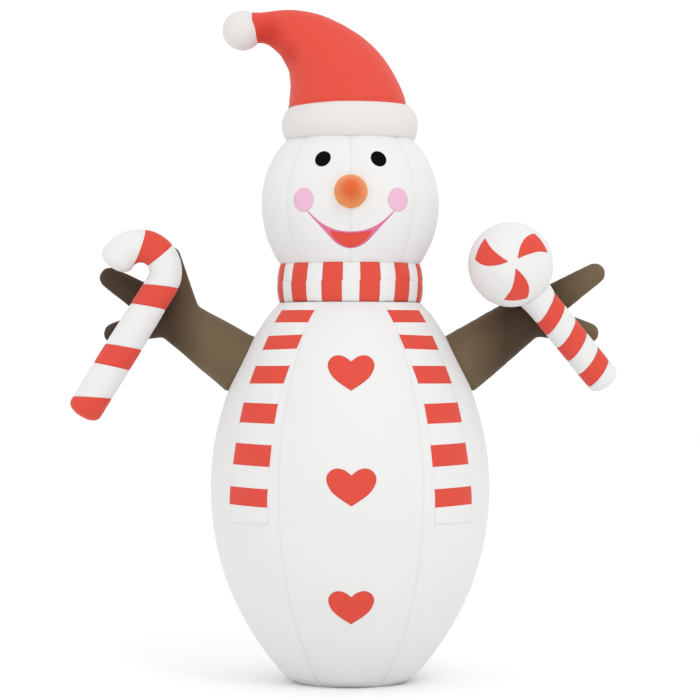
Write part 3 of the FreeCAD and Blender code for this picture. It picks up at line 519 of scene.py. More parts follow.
def sewn(patches, skin, outline, centre, thick=0.0025):
    """A flat shape round its centre, laid on a skin as seen from the front, its edge turned in."""
    centre = np.array(centre)
    shares = np.concatenate([np.linspace(1, 0.03, 14), [0.0]])[::-1]
    flat = centre + (outline - centre) * shares[:, None, None]
    lifts = np.full(flat.shape[:2], thick)
    away = np.linalg.norm(outline - centre, axis=1) * (1 - shares[:, None])
    flat, lifts = (np.concatenate([a, a[-1:]]) for a in (flat, lifts))
    lifts[-1] = TURNED_IN
    away = np.concatenate([away, away[-1:]])
    run = running(np.linalg.norm(np.diff(outline, axis=0), axis=1))
    points = skin.from_front(flat[..., 0], flat[..., 1], lifts)
    patches.grid(points[::-1], away[::-1] + 0.002, np.broadcast_to(run, away.shape), closed=True)


def crescent(patches, skin, top, low, thick):
    """A shape between two lines of points that share their ends, laid on a skin."""
    shares = np.linspace(0, 1, 10)[:, None, None]
    flat = low + (top - low) * shares
    flat = np.concatenate([flat[:1], flat, flat[-1:]])
    lifts = np.full(flat.shape[:2], thick)
    lifts[0] = lifts[-1] = TURNED_IN
    lifts[:, 0] = lifts[:, -1] = TURNED_IN
    patches.grid(skin.from_front(flat[..., 0], flat[..., 1], lifts))


def ellipse(centre, long, short, tilt):
    """The outline of an ellipse: half of its length, half of its width and its lean."""
    turn = circle(72)
    u, v = short * np.cos(turn), long * np.sin(turn)
    c, s = math.cos(tilt), math.sin(tilt)
    return np.stack([centre[0] + u * c + v * s, centre[1] - u * s + v * c], axis=-1)


# distance to the side, height, half of the length, half of the width, lean
EYE = (0.214, 4.083, 0.065, 0.055, math.radians(-44))
CHEEK = (0.363, 3.768, 0.091, 0.076, 0)
for name, (x, z, long, short, lean), material, colour in (
    ("eye", EYE, BLACK, "black"),
    ("cheek", CHEEK, PINK, "pink"),
):
    pair = Patches()
    for side in (-1, 1):
        middle = (x * side, z)
        sewn(pair, HEAD, ellipse(middle, long, short, lean * side), middle)
    pair.make(f"{name}_shapes", material, [f"{name}_patches"], f"{colour}_fabric")

# right halves of the mouth's lines, from the middle outward: distance to the side and height
SMILE_END = (0.345, 3.693)
SMILE_TOP = [(0, 3.521), (0.063, 3.525), (0.122, 3.537), (0.191, 3.566), (0.254, 3.609), SMILE_END]
SMILE_LOW = [(0, 3.396), (0.063, 3.409), (0.125, 3.446), (0.183, 3.508), (0.228, 3.558)]
SMILE_LOW += [(0.318, 3.656), SMILE_END]
LIPS_TOP = [(0, 3.510), (0.095, 3.517), (0.163, 3.530)]
LIPS_LOW = [(0, 3.404), (0.062, 3.421), (0.116, 3.459), (0.147, 3.500), (0.163, 3.530)]
SMILE_THICK, LIPS_THICK = 0.0022, 0.0042


def both_halves(half, count):
    """A smooth symmetrical line from its left end to its right end."""
    return curve_through([(-x, z) for x, z in half[:0:-1]] + half, count)


smile, lips = Patches(), Patches()
crescent(smile, HEAD, both_halves(SMILE_TOP, 81), both_halves(SMILE_LOW, 81), SMILE_THICK)
smile.make("mouth_shape", ROSE, ["mouth_patch"], "pink_fabric")
crescent(lips, HEAD, both_halves(LIPS_TOP, 61), both_halves(LIPS_LOW, 61), LIPS_THICK)
lips.make("mouth_inner_shape", RED, ["mouth_inner_patch"], "red_fabric")

# a heart's right half, from its tip to its notch, and each heart's height and scale
HEART_HALF = [(0, -0.132), (0.094, -0.069), (0.150, -0.014), (0.177, 0.057)]
HEART_HALF += [(0.155, 0.111), (0.105, 0.134), (0.050, 0.123), (0, 0.087)]
HEARTS = [(2.440, 1.0), (1.585, 1.06), (0.667, 0.98)]
HEART_THICK = 0.003
right_half = curve_through(HEART_HALF, 60)
left_half = (right_half * (-1, 1))[1:-1][::-1]
heart = np.concatenate([right_half, left_half])
hearts = Patches()
for height, scale in HEARTS:
    sewn(hearts, BODY, heart * scale + (0, height), (0, height), HEART_THICK)
hearts.make("heart_shapes", RED, ["heart_patches"], "red_fabric")


# ---- scarf tails
TAIL_LOW = 1.287
TAIL_WIDTH = 0.29
HEM_LIFT, STRIPE_LIFT, STRIPE_EDGE = 0.006, 0.0016, 0.0005
TAIL_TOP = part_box("scarf_tail_right_white")[1].z
# inner and outer edge from top to bottom: distance to the side and height
TAIL_EDGES = [
    [(0.245, 2.986), (0.370, 2.732), (0.552, 2.214), (0.630, 1.572), (0.628, TAIL_LOW)],
    [(0.500, 2.986), (0.633, 2.732), (0.822, 2.214), (0.923, 1.572), (0.922, TAIL_LOW)],
]
# upper edge, lower edge and how much the outer end is higher than the inner one
STRIPES = [
    (2.927, 2.823, 0.002),
    (2.732, 2.615, -0.010),
    (2.498, 2.352, -0.003),
    (2.214, 2.051, 0.006),
    (1.905, 1.728, 0.010),
    (1.572, 1.422, 0.010),
]


def tail_points(side, shares, heights, lift):
    """Points on a tail from its inner edge (0) to its outer edge (1)."""
    edges = []
    for corners in TAIL_EDGES:
        line = curve_through(corners, 60)[::-1]
        edges.append(np.interp(heights, line[:, 1], line[:, 0]))
    return BODY.from_front(side * (edges[0] + (edges[1] - edges[0]) * shares), heights, lift)


def tail_lift(shares, heights, seed):
    """The tail's cushion: flat on the body at its edges, loose at the lower hem."""
    across = np.clip(1 - np.abs(2 * shares - 1) ** 5, 0, 1)
    end = np.clip((heights - TAIL_LOW) / 0.02, 0, 1) ** 0.5
    hem = HEM_LIFT * np.exp(-(heights - TAIL_LOW) / 0.10)
    hem = hem * (1 + ripple(shares * 3, heights * 2, seed))
    waves = 0.0008 * ripple(shares * 5, heights * 6, seed)
    return 0.0025 + (0.006 * across + hem) * end + waves


for side, hand in ((1, "right"), (-1, "left")):
    shares, heights = np.meshgrid(crowded(25, 0.5), np.linspace(TAIL_LOW, TAIL_TOP - 0.002, 150))
    lift = tail_lift(shares, heights, 21 + side)
    lift[0] = 0.0
    lift[:, 0] = lift[:, -1] = 0.0
    away = np.minimum(np.minimum(shares, 1 - shares) * TAIL_WIDTH, np.abs(heights - TAIL_LOW))
    points = tail_points(side, shares, heights, lift)
    if side < 0:
        points, away, heights = points[:, ::-1], away[:, ::-1], heights[:, ::-1]
    cloth = Patches().grid(points, away, heights)
    cloth = cloth.make(f"scarf_tail_{hand}", WHITE, [f"scarf_tail_{hand}_white"], "white_fabric")
    stripes = Patches()
    for high, low, tilt in STRIPES:
        shares, heights = np.meshgrid(crowded(25, 0.5), np.linspace(low, high, 14))
        heights = heights + tilt * (shares - 0.5)
        lift = tail_lift(shares, heights, 21 + side) + STRIPE_LIFT
        lift[[0, -1]] -= 0.003
        lift[:, 0] = lift[:, -1] = STRIPE_EDGE
        points = tail_points(side, shares, heights, lift)
        away = np.minimum(heights - low, high - heights)
        if side < 0:
            points, away, shares = points[:, ::-1], away[:, ::-1], shares[:, ::-1]
        stripes.grid(points, away, shares * TAIL_WIDTH)
    name = f"scarf_tail_{hand}_stripes"
    stripes = stripes.make(name, RED, [f"scarf_tail_{hand}_red"], "red_fabric")


# ---- hat
def paint_shading_share(item, measure):
    """Stores a share from 0 to 1 at each point, for the material's second colour of painted light and
    shade.
    """
    values = np.array([measure(v.co) for v in item.data.vertices], np.float32)
    layer = item.data.attributes.new("reach", "FLOAT", "POINT")
    layer.data.foreach_set("value", np.clip(values, 0, 1))


BAND_TUCK = 0.02
azimuth, height = np.meshgrid(circle(240), BAND.heights(40))
points = BAND.at(azimuth, height)
for end, way in ((0, -1), (-1, 1)):
    share = 1 - BAND_TUCK / BAND.r[end]
    inner = points[end] * (share, share, 1) - (0, 0, way * 0.004)
    points = np.concatenate([inner[None], points] if end == 0 else [points, inner[None]])
away = np.minimum(BAND.seam_distance(azimuth, height), 1)
away, run = (np.concatenate([a[:1], a, a[-1:]]) for a in (away, height))
band = Patches().grid(points, away, run, closed=True)
band.make("hat_band_roll", PLUSH, ["hat_band"], "plush_white")

HAT_MIDDLE = (-0.644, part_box("hat_band")[1].z)
# turn about the bend's middle in degrees, radius there, distance from the bend's middle
HAT_RINGS = [
    (-4, 0.472, 0.626),
    (0, 0.470, 0.626),
    (22, 0.409, 0.584),
    (45, 0.326, 0.564),
    (68, 0.227, 0.586),
    (90, 0.134, 0.621),
    (101, 0.123, 0.636),
]
# folds on the inner side of the bend: turn, reach round the side, depth and half width in degrees
HAT_FOLDS = [(60, 0.8, 0.005, 7.0), (77, 0.8, 0.004, 5.5), (43, 0.7, 0.002, 7.0)]
# the hem's turn, and a middle radius for distances round the hat
HAT_HEM, HAT_WIDTH = 1.4, 0.35


def hat_points(turns, around, lift):
    """Points on the bent hat; around runs from the outer side of the bend over the front."""
    rings = curve_through([(a / 60, r, d) for a, r, d in HAT_RINGS], 400)
    turn = np.radians(turns)
    radius, reach = (np.interp(turns / 60, rings[:, 0], rings[:, i]) for i in (1, 2))
    radius = radius + lift
    out = reach + radius * np.cos(around)
    x = HAT_MIDDLE[0] + out * np.cos(turn)
    z = HAT_MIDDLE[1] + out * np.sin(turn)
    return np.stack([x, -radius * np.sin(around), z], axis=-1)


turns = np.concatenate([np.linspace(-3.2, 6, 24), np.linspace(6, 101, 130)[1:]])
turns, around = np.meshgrid(turns, circle(240), indexing="ij")
inner_side = np.clip(-np.cos(around), 0, 1)
half = around / math.pi % 1
seam_off = np.minimum(half, 1 - half) * math.pi * HAT_WIDTH
lift = 0.004 * (crowned(half) - 0.5) - 0.003 * bell(seam_off, 0.006)
unevenness = 0.003 * (1 - 0.8 * inner_side) * ripple(turns / 14, around * 1.6, 31)
lift = lift - 0.004 * bell(turns - HAT_HEM, 0.5) + unevenness
for fold, reach, depth, wide in HAT_FOLDS:
    drift = turns - fold + 7 * np.sin(around * 2)
    sunk = inner_side ** (1 / reach)
    waves = bell(drift, wide) - 0.4 * bell(drift - 2 * wide, wide)
    lift = lift - depth * sunk * waves
hem = np.abs(turns - HAT_HEM) * 0.0175
hat = hat_points(turns, around, lift)
away = np.minimum(seam_off, hem)
hat = Patches().grid(hat[:, ::-1], away[:, ::-1], around[:, ::-1] * 0.4, closed=True)
hat = hat.make("hat_cloth", HAT_RED, ["hat_cone"], "red_fabric")
# where the cloth gathers on the inner side of the bend: side, height, reach and depth of shade
GATHERS = [(-0.653, 5.09, 0.13, 1.0), (-0.49, 4.92, 0.09, 0.7)]


def gathered_shade(p):
    shade = 0
    for x, z, wide, deep in GATHERS:
        shade += deep * math.exp(-(((p.x - x) ** 2 + (p.z - z) ** 2) / wide**2))
    return 1 - shade


paint_shading_share(hat, gathered_shade)


def ball_grid(centre, radius, panels, pole, puff, groove, rows=72, columns=144):
    """A sewn ball with its panels' seams running from pole to pole."""
    polar, turn = np.meshgrid(np.linspace(0.0, math.pi, rows), circle(columns), indexing="ij")
    share = turn / (FULL / panels) % 1
    off = np.minimum(share, 1 - share) * (FULL / panels) * radius * np.sin(polar)
    bulge = puff * (crowned(share) - 0.5) * np.sin(polar)
    bulge = bulge + 0.0012 * ripple(turn * 2, polar * 4, 41) * np.sin(polar)
    size = radius + bulge - groove * bell(off, 0.006) * np.clip(np.sin(polar) * 6, 0, 1)
    ball = np.stack(
        [np.sin(polar) * np.cos(turn), np.sin(polar) * np.sin(turn), -np.cos(polar)], axis=-1
    )
    spin = np.array(Vector((0, 0, 1)).rotation_difference(Vector(pole).normalized()).to_matrix())
    points = (ball * size[..., None]) @ spin.T + np.array(centre)
    return Patches().grid(points, off + 0.003, polar * radius, closed=True)


low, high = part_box("pompom")
POMPOM_RADIUS = 0.158
pompom_middle = (low.x + POMPOM_RADIUS + 0.001, 0, (low.z + high.z) / 2)
pompom = ball_grid(pompom_middle, POMPOM_RADIUS, 6, (-0.98, 0, -0.2), 0.0006, 0.0002)
pompom.make("pompom_ball", PLUSH, ["pompom"], "plush_white")


# ---- nose
low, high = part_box("nose_cone")
NOSE_ROOT = Vector((0, -0.652, 3.824))
NOSE_TIP = Vector((0, low.y, 3.854))
NOSE_RADIUS = (high.x - low.x) / 2 + 0.012
nose_way = (NOSE_TIP - NOSE_ROOT).normalized()
nose_turn = np.array(Vector((0, 0, 1)).rotation_difference(nose_way).to_matrix())
# shares of the nose's length and of its radius, from root to tip
NOSE_LINE = [(0, 1.08), (0.14, 0.985), (0.4, 0.79), (0.65, 0.575), (0.85, 0.37), (0.95, 0.22), (1, 0)]
nose_line = curve_through(NOSE_LINE, 48)
runs, around = np.meshgrid(np.arange(48), circle(96), indexing="ij")
length = (NOSE_TIP - NOSE_ROOT).length
share = (around / FULL + 0.25) % 1
radius = nose_line[runs, 1] * NOSE_RADIUS
radius = radius * (1 + 0.01 * (crowned(share) - 0.5)) + 0.001 * ripple(around * 2, runs / 9, 51)
off = np.minimum(share, 1 - share) * FULL * radius
radius = np.maximum(radius - 0.003 * bell(off, 0.005), 0)
radius[-1] = 0
run = nose_line[runs, 0] * length
nose = np.stack([radius * np.cos(around), radius * np.sin(around), run], axis=-1)
nose = nose @ nose_turn.T + np.array(NOSE_ROOT)
nose = Patches().grid(nose, off, run, closed=True)
nose = nose.make("nose", ORANGE, ["nose_cone"], "orange_fabric")


def nose_shade_share(p):
    """Distance from the nose's middle line, as a share of its radius; near that line and the tip the
    orange is painted darker, a painted shade.
    """
    off = (p - NOSE_ROOT) - (p - NOSE_ROOT).dot(nose_way) * nose_way
    return (off.length / NOSE_RADIUS) ** 1.6


paint_shading_share(nose, nose_shade_share)


# ---- arms
# (distance to the side, height, radius) at both ends of the arm, the thumb and the two fingers
ARM_STATIONS = {
    "right": [
        ((0.820, 2.476, 0.250), (1.390, 2.875, 0.184)),
        ((1.322, 2.868, 0.132), (1.443, 3.352, 0.092)),
        ((1.390, 2.868, 0.160), (1.940, 3.220, 0.086)),
        ((1.390, 2.868, 0.140), (1.895, 2.746, 0.084)),
    ],
    "left": [
        ((0.820, 2.470, 0.246), (1.390, 2.868, 0.178)),
        ((1.305, 2.868, 0.132), (1.430, 3.352, 0.092)),
        ((1.390, 2.868, 0.160), (1.902, 3.188, 0.086)),
        ((1.390, 2.868, 0.140), (1.870, 2.742, 0.084)),
    ],
}


def capsule(near, far, side):
    """Points and faces of two balls and the taper between them."""
    form = bmesh.new()
    for x, z, radius in (near, far):
        place = Matrix.Translation((x * side, 0, z))
        bmesh.ops.create_icosphere(form, subdivisions=4, radius=radius, matrix=place)
    hull = bmesh.ops.convex_hull(form, input=form.verts[:])
    inner = [g for g in hull["geom_interior"] if isinstance(g, bmesh.types.BMVert)]
    bmesh.ops.delete(form, geom=inner, context="VERTS")
    form.verts.index_update()
    points = [tuple(v.co) for v in form.verts]
    faces = [[v.index for v in f.verts] for f in form.faces]
    form.free()
    return points, faces


def through_modifier(item, kind, **settings):
    """Applies one modifier to the mesh."""
    step = item.modifiers.new(kind, kind)
    for name, value in settings.items():
        setattr(step, name, value)
    bpy.context.view_layer.update()
    shown = item.evaluated_get(bpy.context.evaluated_depsgraph_get())
    done = bpy.data.meshes.new_from_object(shown)
    item.modifiers.clear()
    old, item.data = item.data, done
    bpy.data.meshes.remove(old)


def blown_up(item, cap, pressure=4.0, frames=18):
    """Cloth under air pressure; no point ends further than cap from where it began."""
    start = read(item.data.vertices)
    cloth = item.modifiers.new("air", "CLOTH")
    cloth.settings.use_pressure = True
    cloth.settings.uniform_pressure_force = pressure
    cloth.settings.effector_weights.gravity = 0
    cloth.settings.tension_stiffness = cloth.settings.compression_stiffness = 30
    cloth.settings.bending_stiffness = 2
    scene = bpy.context.scene
    for step in range(1, frames + 1):
        scene.frame_set(step)
    ended = item.evaluated_get(bpy.context.evaluated_depsgraph_get()).to_mesh()
    moved = read(ended.vertices) - start
    item.modifiers.clear()
    scene.frame_set(1)
    size = np.linalg.norm(moved, axis=1, keepdims=True)
    moved = moved * np.minimum(1, cap / np.maximum(size, 1e-9))
    item.data.vertices.foreach_set("co", (start + moved).ravel())
    item.data.update()


def outside_body(vert):
    """How far outside the body's skin a point is."""
    x, y, z = vert.co
    return math.hypot(x, y) - float(BODY.at_height(z, BODY.r))


# where an arm's cloth is cut off outside the body, and as far inside it its rim is sewn on
ARM_ROOT = 0.004
# painted shadow: the brown is painted darker where the ball and the cane shade the hands, and painted
# lighter again at the right hand's fingertips
arm_shade = {
    1: lambda p: min(1, (p.x - 0.85) / 0.4) - max(0, p.x - 1.5) * 2.2,
    -1: lambda p: (-p.x - 1.08) / 0.34,
}
for side, hand in ((1, "right"), (-1, "left")):
    points, faces = [], []
    for near, far in ARM_STATIONS[hand]:
        more_points, more_faces = capsule(near, far, side)
        faces += [[n + len(points) for n in face] for face in more_faces]
        points += more_points
    mesh = bpy.data.meshes.new(f"arm_{hand}_cloth")
    mesh.from_pydata(points, [], faces)
    arm = placed(f"arm_{hand}_cloth", mesh)
    through_modifier(arm, "REMESH", mode="VOXEL", voxel_size=0.016)
    through_modifier(arm, "SMOOTH", factor=0.5, iterations=8)
    blown_up(arm, 0.010)
    through_modifier(arm, "SMOOTH", factor=0.5, iterations=2)
    with edited(arm) as form:
        inside = [v for v in form.verts if outside_body(v) < ARM_ROOT]
        bmesh.ops.delete(form, geom=inside, context="VERTS")
        for vert in form.verts:
            if vert.is_boundary:
                share = 1 - (outside_body(vert) + ARM_ROOT) / math.hypot(vert.co.x, vert.co.y)
                vert.co.x *= share
                vert.co.y *= share
    through_modifier(arm, "SUBSURF", levels=1, render_levels=1)
    spots, ways = read(arm.data.vertices), read(arm.data.vertices, "normal")
    off = np.abs(spots[:, 1])
    run = spots[:, 0] * 0.8 + spots[:, 2] * 0.6
    rim = np.hypot(spots[:, 0], spots[:, 1]) - BODY.at_height(spots[:, 2], BODY.r)
    folds = 0.0012 * ripple(run / 0.05, off / 0.2, 61) * np.exp(-off / 0.05)
    folds = folds + 0.0018 * ripple(spots[:, 0] / 0.22, spots[:, 2] / 0.22, 62)
    folds = folds - 0.0035 * bell(off, 0.009) - 0.006 * bell(rim, 0.012)
    spots = spots + ways * folds[:, None]
    faces = [tuple(p.vertices) for p in arm.data.polygons]
    seam = np.stack([off * 1.1, run], axis=-1)
    bpy.data.objects.remove(arm)
    uvs = {"cloth": spots[:, [0, 2]], "seam": seam}
    arm = piece(f"arm_{hand}_skin", spots, faces, BROWN, [f"arm_{hand}"], uvs)
    paint_shading_share(arm, arm_shade[side])


# ---- candy cane and lollipop stick
class Tube:
    """A sewn tube with slanted bands.  Distances run along its middle line."""

    def __init__(self, place, radius, start, end, start_cap, end_cap):
        self.place, self.radius = place, radius
        self.start, self.end, self.start_cap, self.end_cap = start, end, start_cap, end_cap

    def at(self, along, around, rise=0.0):
        middle, way, out = self.place(along)
        front = np.cross(way, out)
        size = self.radius(along) + rise
        for over, cap in ((self.start - along, self.start_cap), (along - self.end, self.end_cap)):
            if cap:
                share = np.clip(over / cap, 0, 1)
                size = size * (1 - share**2.4) ** (1 / 2.2)
        size = size[..., None]
        return middle + size * (np.cos(around)[..., None] * out + np.sin(around)[..., None] * front)

    def cut(self, along, slant, bow, around):
        """Distances at which a cut meets the tube; its slant and bow are in degrees."""
        middle, way, out = (a[0] for a in self.place(np.array([along])))
        slant, bow = math.radians(slant), math.radians(bow)
        normal = way + out * math.tan(slant) + np.cross(way, out) * math.tan(bow)
        normal = normal / np.linalg.norm(normal)
        found = np.full(around.shape, float(along))
        for _ in range(40):
            miss = (self.at(found, around) - middle) @ normal
            found = found - 0.6 * miss
        return found

    def bands(self, cuts, names):
        """One grid for each band between the cuts, gathered by colour."""
        around = circle(96)
        edges = [self.cut(*cut, around) for cut in cuts]
        gathered = {name: Patches() for name in names}
        for i in range(len(cuts) + 1):
            low = edges[i - 1] if i else np.full(around.shape, self.start)
            high = edges[i] if i < len(edges) else np.full(around.shape, self.end)
            count = max(10, round(float((high - low).mean()) / 0.009))
            share = crowded(count, 0.6)[:, None]
            along = low + (high - low) * share
            turn = np.broadcast_to(around, along.shape)
            from_low, from_high = along - low, high - along
            off = np.minimum(from_low if i else 1, from_high if i < len(cuts) else 1)
            inward = np.clip(off / 0.035, 0, 1)
            rise = 0.0022 * (1 - (1 - inward) ** 2) - 0.0015 * bell(off, 0.005)
            rise = rise + 0.0008 * ripple(along / 0.12, turn * 1.2, 71 + i)
            rise = rise + 0.0006 * ripple(along / 0.3, turn * 4, 81 + i) * np.exp(-off / 0.04)
            ends = np.sin(np.linspace(0, math.pi / 2, 18))[1:, None]
            ends = np.broadcast_to(ends, (len(ends), len(around)))
            if i == 0 and self.start_cap:
                along = np.concatenate([self.start - self.start_cap * ends[::-1], along])
            if i == len(cuts) and self.end_cap:
                along = np.concatenate([along, self.end + self.end_cap * ends])
            missing = len(along) - len(rise)
            pad = ((0, missing) if i else (missing, 0), (0, 0))
            rise, off = np.pad(rise, pad, mode="edge"), np.pad(off, pad, mode="edge")
            turn = np.broadcast_to(around, along.shape)
            points = self.at(along, turn, rise)
            gathered[names[i % 2]].grid(points, np.maximum(off, 0), turn * 0.13, closed=True)
        return gathered


HOOK = np.array((-1.640, -0.316, 3.226))
HOOK_RADIUS = 0.200
HOOK_END, CANE_LEAN = math.radians(147), math.radians(31.6)
HOOK_LENGTH = HOOK_RADIUS * (HOOK_END + CANE_LEAN)


def cane_place(along):
    """Middle, way and outward direction of the cane, measured from the hook's end."""
    turn = HOOK_END - np.clip(along, 0, HOOK_LENGTH) / HOOK_RADIUS
    zero = np.zeros_like(turn)
    out = np.stack([np.cos(turn), zero, np.sin(turn)], axis=-1)
    way = np.stack([np.sin(turn), zero, -np.cos(turn)], axis=-1)
    spare = along - np.clip(along, 0, HOOK_LENGTH)
    return HOOK + out * HOOK_RADIUS + way * spare[..., None], way, out


def hook_turn(degrees):
    return HOOK_RADIUS * (HOOK_END - math.radians(degrees))


CANE_CUTS = [(hook_turn(90), -18, -11), (hook_turn(39.5), 0, -8)]
CANE_SHAFT_CUTS = [(0.0145, 25), (0.2004, 21), (0.5675, 21.5), (0.747, 19), (1.030, 28)]
CANE_CUTS += [(HOOK_LENGTH + along, slant, 3) for along, slant in CANE_SHAFT_CUTS]
cane = Tube(
    cane_place,
    lambda along: 0.1255
    + 0.009 * np.clip(1 - along / 0.35, 0, 1) ** 1.5
    + 0.0065 * np.clip((along - 0.7) / 0.5, 0, 1),
    0.0,
    HOOK_LENGTH + 1.122,
    0.095,
    0.080,
)
low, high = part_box("lollipop_ball")
BALL = np.array((low + high) / 2)
BALL_RADIUS = (high.x - low.x) / 2
STICK_WAY = np.array(Vector((0.744, 0.250, -0.892)).normalized())
STICK_OUT = np.array((0.768, 0, 0.641))
STICK_OUT = STICK_OUT - STICK_WAY * (STICK_OUT @ STICK_WAY)
STICK_OUT = STICK_OUT / np.linalg.norm(STICK_OUT)
NECK_START = 0.298


def stick_place(along):
    shape = np.ones(along.shape + (1,))
    return BALL + along[..., None] * STICK_WAY, STICK_WAY * shape, STICK_OUT * shape


stick = Tube(
    stick_place,
    lambda along: 0.1275 + 0.015 * np.clip(1 - (along - NECK_START) / 0.16, 0, 1) ** 2,
    NECK_START,
    1.170,
    0,
    0.080,
)
STICK_CUTS = [(0.440, 22), (0.569, 19.5), (0.706, 19), (0.848, 17.5), (0.988, 16), (1.122, 14.5)]
STICK_CUTS = [(along, slant, 0) for along, slant in STICK_CUTS]
COLOURS = {"white": (WHITE, "tube"), "red": (RED, "bands")}
for tube, cuts, name in ((cane, CANE_CUTS, "candy_cane"), (stick, STICK_CUTS, "lollipop_stick")):
    for colour, bands in tube.bands(cuts, list(COLOURS)).items():
        material, kind = COLOURS[colour]
        node = f"{name}_{colour}_{kind}"
        sleeve = bands.make(f"{name}_{colour}_sleeve", material, [node], f"{colour}_fabric")

ball = ball_grid(BALL, BALL_RADIUS - 0.001, 6, -STICK_WAY, 0.003, 0.0008, 110, 200)
ball.make("lollipop_ball_skin", WHITE, ["lollipop_ball"], "white_fabric")

# both edges of the first petal, as shares of the ball's radius to the right and up
PETAL_LEFT = [(0.087, 0.092), (0.119, 0.280), (0.183, 0.455)]
PETAL_LEFT += [(0.273, 0.593), (0.393, 0.678), (0.516, 0.715)]
PETAL_RIGHT = [(0.085, 0.095), (0.307, 0.189), (0.591, 0.259), (0.842, 0.236)]
PETAL_ROWS, PETAL_LENGTH = 34, 0.26
PETAL_THICK, PETAL_TURNED_IN = 0.0035, 0.004
petals = Patches()
right, left = (curve_through(edge, PETAL_ROWS)[:, None] for edge in (PETAL_RIGHT, PETAL_LEFT))
across = np.linspace(0, 1, 21)[None, :, None]
flat = right + (left - right) * across
way = flat[-1] / np.linalg.norm(flat[-1], axis=-1, keepdims=True)
outward = np.linspace(0, 1, PETAL_ROWS)[:, None]
flat = flat + way * outward[..., None] ** 4 * crowned(across) * 0.045
size = np.full(flat.shape[:2], BALL_RADIUS + PETAL_THICK)
size[0] = size[-1] = size[:, 0] = size[:, -1] = BALL_RADIUS - PETAL_TURNED_IN
off = np.minimum(across, 1 - across)[..., 0] * (0.02 + (PETAL_LENGTH - 0.02) * outward)
run = np.broadcast_to(outward * PETAL_LENGTH, off.shape)
for face in (-1, 1):
    for turn in (0, 120, 240):
        c, s = math.cos(math.radians(turn)), math.sin(math.radians(turn))
        side, up = flat[..., 0] * c - flat[..., 1] * s, flat[..., 0] * s + flat[..., 1] * c
        depth = np.sqrt(1 - side**2 - up**2)
        petal = BALL + np.stack([side, face * depth, up], axis=-1) * size[..., None]
        petals.grid(petal[:, ::-1] if face < 0 else petal, off, run)
petals.make("lollipop_petal_shapes", RED, ["lollipop_petals"], "red_fabric")


# ---- back: fan sleeve, zip, fittings
low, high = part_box("blower_cuff")
CUFF_MIDDLE, CUFF_RADIUS, CUFF_END = (low + high) / 2, (high.x - low.x) / 2, high.y
turn = circle(120)
side = CUFF_MIDDLE.x + CUFF_RADIUS * np.sin(turn)
height = CUFF_MIDDLE.z + CUFF_RADIUS * np.cos(turn)
root = BODY.from_front(side, height, 0.003, back=True)[..., 1]
share = crowded(30, 0.6)[:, None]
depth = CUFF_END + (root - CUFF_END) * share
gather = 0.0035 * ripple(turn * 9, share * 1.2, 91) * np.sin(share * math.pi) ** 0.5
flare = 0.012 * np.clip((share - 0.8) / 0.2, 0, 1) ** 2
radius = CUFF_RADIUS + gather + flare
sleeve = np.stack(
    [CUFF_MIDDLE.x + radius * np.sin(turn), depth, CUFF_MIDDLE.z + radius * np.cos(turn)], axis=-1
)
off = np.minimum(share * 0.12, (1 - share) * 0.12) * np.ones_like(radius)
sleeve = Patches().grid(sleeve, off, np.broadcast_to(turn * CUFF_RADIUS, off.shape), closed=True)
sleeve.make("blower_sleeve", WHITE, ["blower_cuff"], "white_fabric")

low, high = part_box("zip_placket")
side, height = np.meshgrid(np.linspace(low.x, high.x, 25)[::-1], np.linspace(low.z, high.z, 90))
skin_side = BODY.from_front(side, height, 0.001, back=True)[..., 1]
share = np.clip((np.abs(side) / high.x - 0.35) / 0.65, 0, 1)
depth = high.y - 0.0004 + (skin_side - high.y) * share**1.5
depth[0], depth[-1] = skin_side[0], skin_side[-1]
off = np.minimum(high.x - np.abs(side), np.minimum(height - low.z, high.z - height))
placket = Patches().grid(np.stack([side, depth, height], axis=-1), off, height)
placket.make("zip_flap", WHITE, ["zip_placket"], "white_fabric")

low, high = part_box("zip_chain")
form = bmesh.new()
bmesh.ops.create_cube(form, size=1)
bmesh.ops.bevel(form, geom=form.edges[:], offset=0.16, segments=2, affect="EDGES", profile=0.6)
tooth = np.array([v.co for v in form.verts])
tooth_faces = [[v.index for v in f.verts] for f in form.faces]
form.free()
points, faces, blocks = [], [], []
TOOTH_PITCH, STOP, STOP_HEIGHT = 0.004, 0.009, 0.008
TOOTH_WIDTH, TOOTH_HEIGHT, TOOTH_SIDE = 0.0052, 0.0026, 0.0023
deep = high.y - low.y
count = round((high.z - low.z - 2 * STOP) / TOOTH_PITCH * 2)
for i in range(count):
    size = (TOOTH_WIDTH, deep, TOOTH_HEIGHT)
    blocks.append((size, TOOTH_SIDE * (-1) ** i, low.z + STOP + i * TOOTH_PITCH / 2))
for z in (low.z + STOP_HEIGHT / 2, high.z - STOP_HEIGHT / 2):
    blocks.append(((high.x - low.x, deep, STOP_HEIGHT), 0, z))
for size, x, z in blocks:
    faces += [[n + len(points) * len(tooth) for n in f] for f in tooth_faces]
    points.append(tooth * size + (x, (low.y + high.y) / 2, z))
piece("zip_teeth", np.concatenate(points), faces, NYLON, ["zip_chain"])

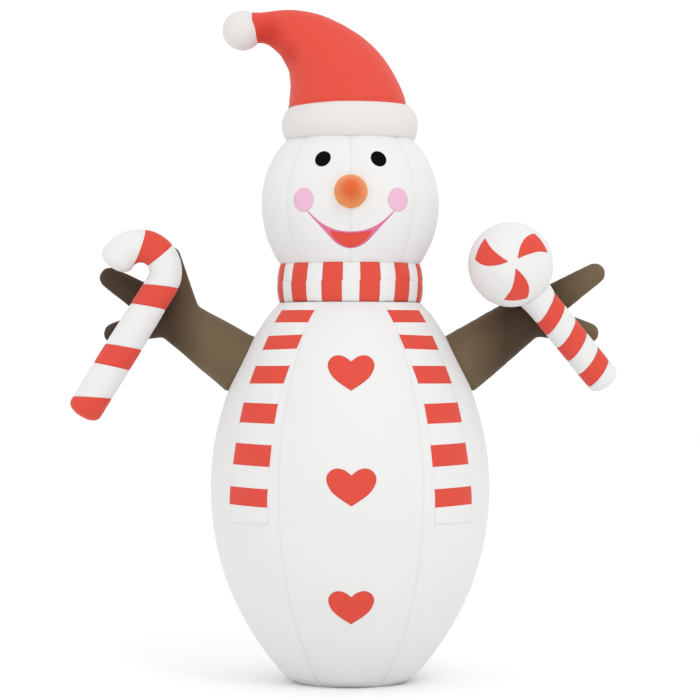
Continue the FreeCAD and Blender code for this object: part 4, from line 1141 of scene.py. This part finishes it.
FINISHES = {
    PLASTIC: [
        "blower_housing",
        "blower_inlet_grille",
        "blower_outlet_guard",
        "blower_motor_struts",
    ],
    DARK_PLASTIC: ["blower_impeller", "lead_gland", "lamp_housings"],
    STEEL: ["blower_motor", "zip_slider", "zip_pull"],
    BLACK_WEBBING: ["cuff_strap", "lamp_strap", "ballast_bags"],
    WEBBING: ["stake_tabs", "tether_tabs"],
    BRASS: ["stake_eyelets", "tether_eyelets"],
    LENS: ["lamp_lenses"],
}
for material, names in FINISHES.items():
    for name in names:
        nodes[name].data.materials.clear()
        nodes[name].data.materials.append(material)


# ---- floor, light and camera
FLOOR_HALF, FLOOR_HEIGHT = 60, -0.002
FLOOR_SHADES = [tinted((1, 1, 1), shade) for shade in (0.955, 0.97)]
mesh = bpy.data.meshes.new("floor")
corners = [(-1, -1), (1, -1), (1, 1), (-1, 1)]
corners = [(x * FLOOR_HALF, y * FLOOR_HALF, FLOOR_HEIGHT) for x, y in corners]
mesh.from_pydata(corners, [], [(0, 1, 2, 3)])
material, tree, main, place = shader("studio_floor", 0.9, Specular_IOR_Level=0.1)
dust = noise(tree, place, 0.8, 4)
tree.links.new(blended(tree, dust, *FLOOR_SHADES), main.inputs["Base Color"])
mesh.materials.append(material)
floor = placed("floor", mesh)


def soft_light(name, place, target, size, power):
    lamp = bpy.data.lights.new(name, "AREA")
    lamp.shape, lamp.size, lamp.energy = "DISK", size, power
    item = placed(name, lamp)
    item.location = place
    item.rotation_mode = "QUATERNION"
    item.rotation_quaternion = (Vector(target) - Vector(place)).to_track_quat("-Z", "Y")


soft_light("key", (5, -11, 12), (0, 0, 2.8), 6, 330)
soft_light("fill", (-9, -9, 7), (0, 0, 2.6), 8, 60)
world = bpy.data.worlds.new("studio")
world.use_nodes = True
background = world.node_tree.nodes["Background"]
background.inputs["Color"].default_value = (1, 1, 1, 1)
background.inputs["Strength"].default_value = 1.05
scene = bpy.context.scene
scene.world = world
scene.view_settings.view_transform = "Standard"
scene.view_settings.look = "None"

camera = placed("camera", bpy.data.cameras.new("camera"))
camera.data.lens, camera.data.sensor_width = 125, 36
camera.location = (-0.18, -19.27, 2.614)
camera.rotation_euler = (math.pi / 2, 0, math.atan2(camera.location.x, -camera.location.y))
scene.camera = camera
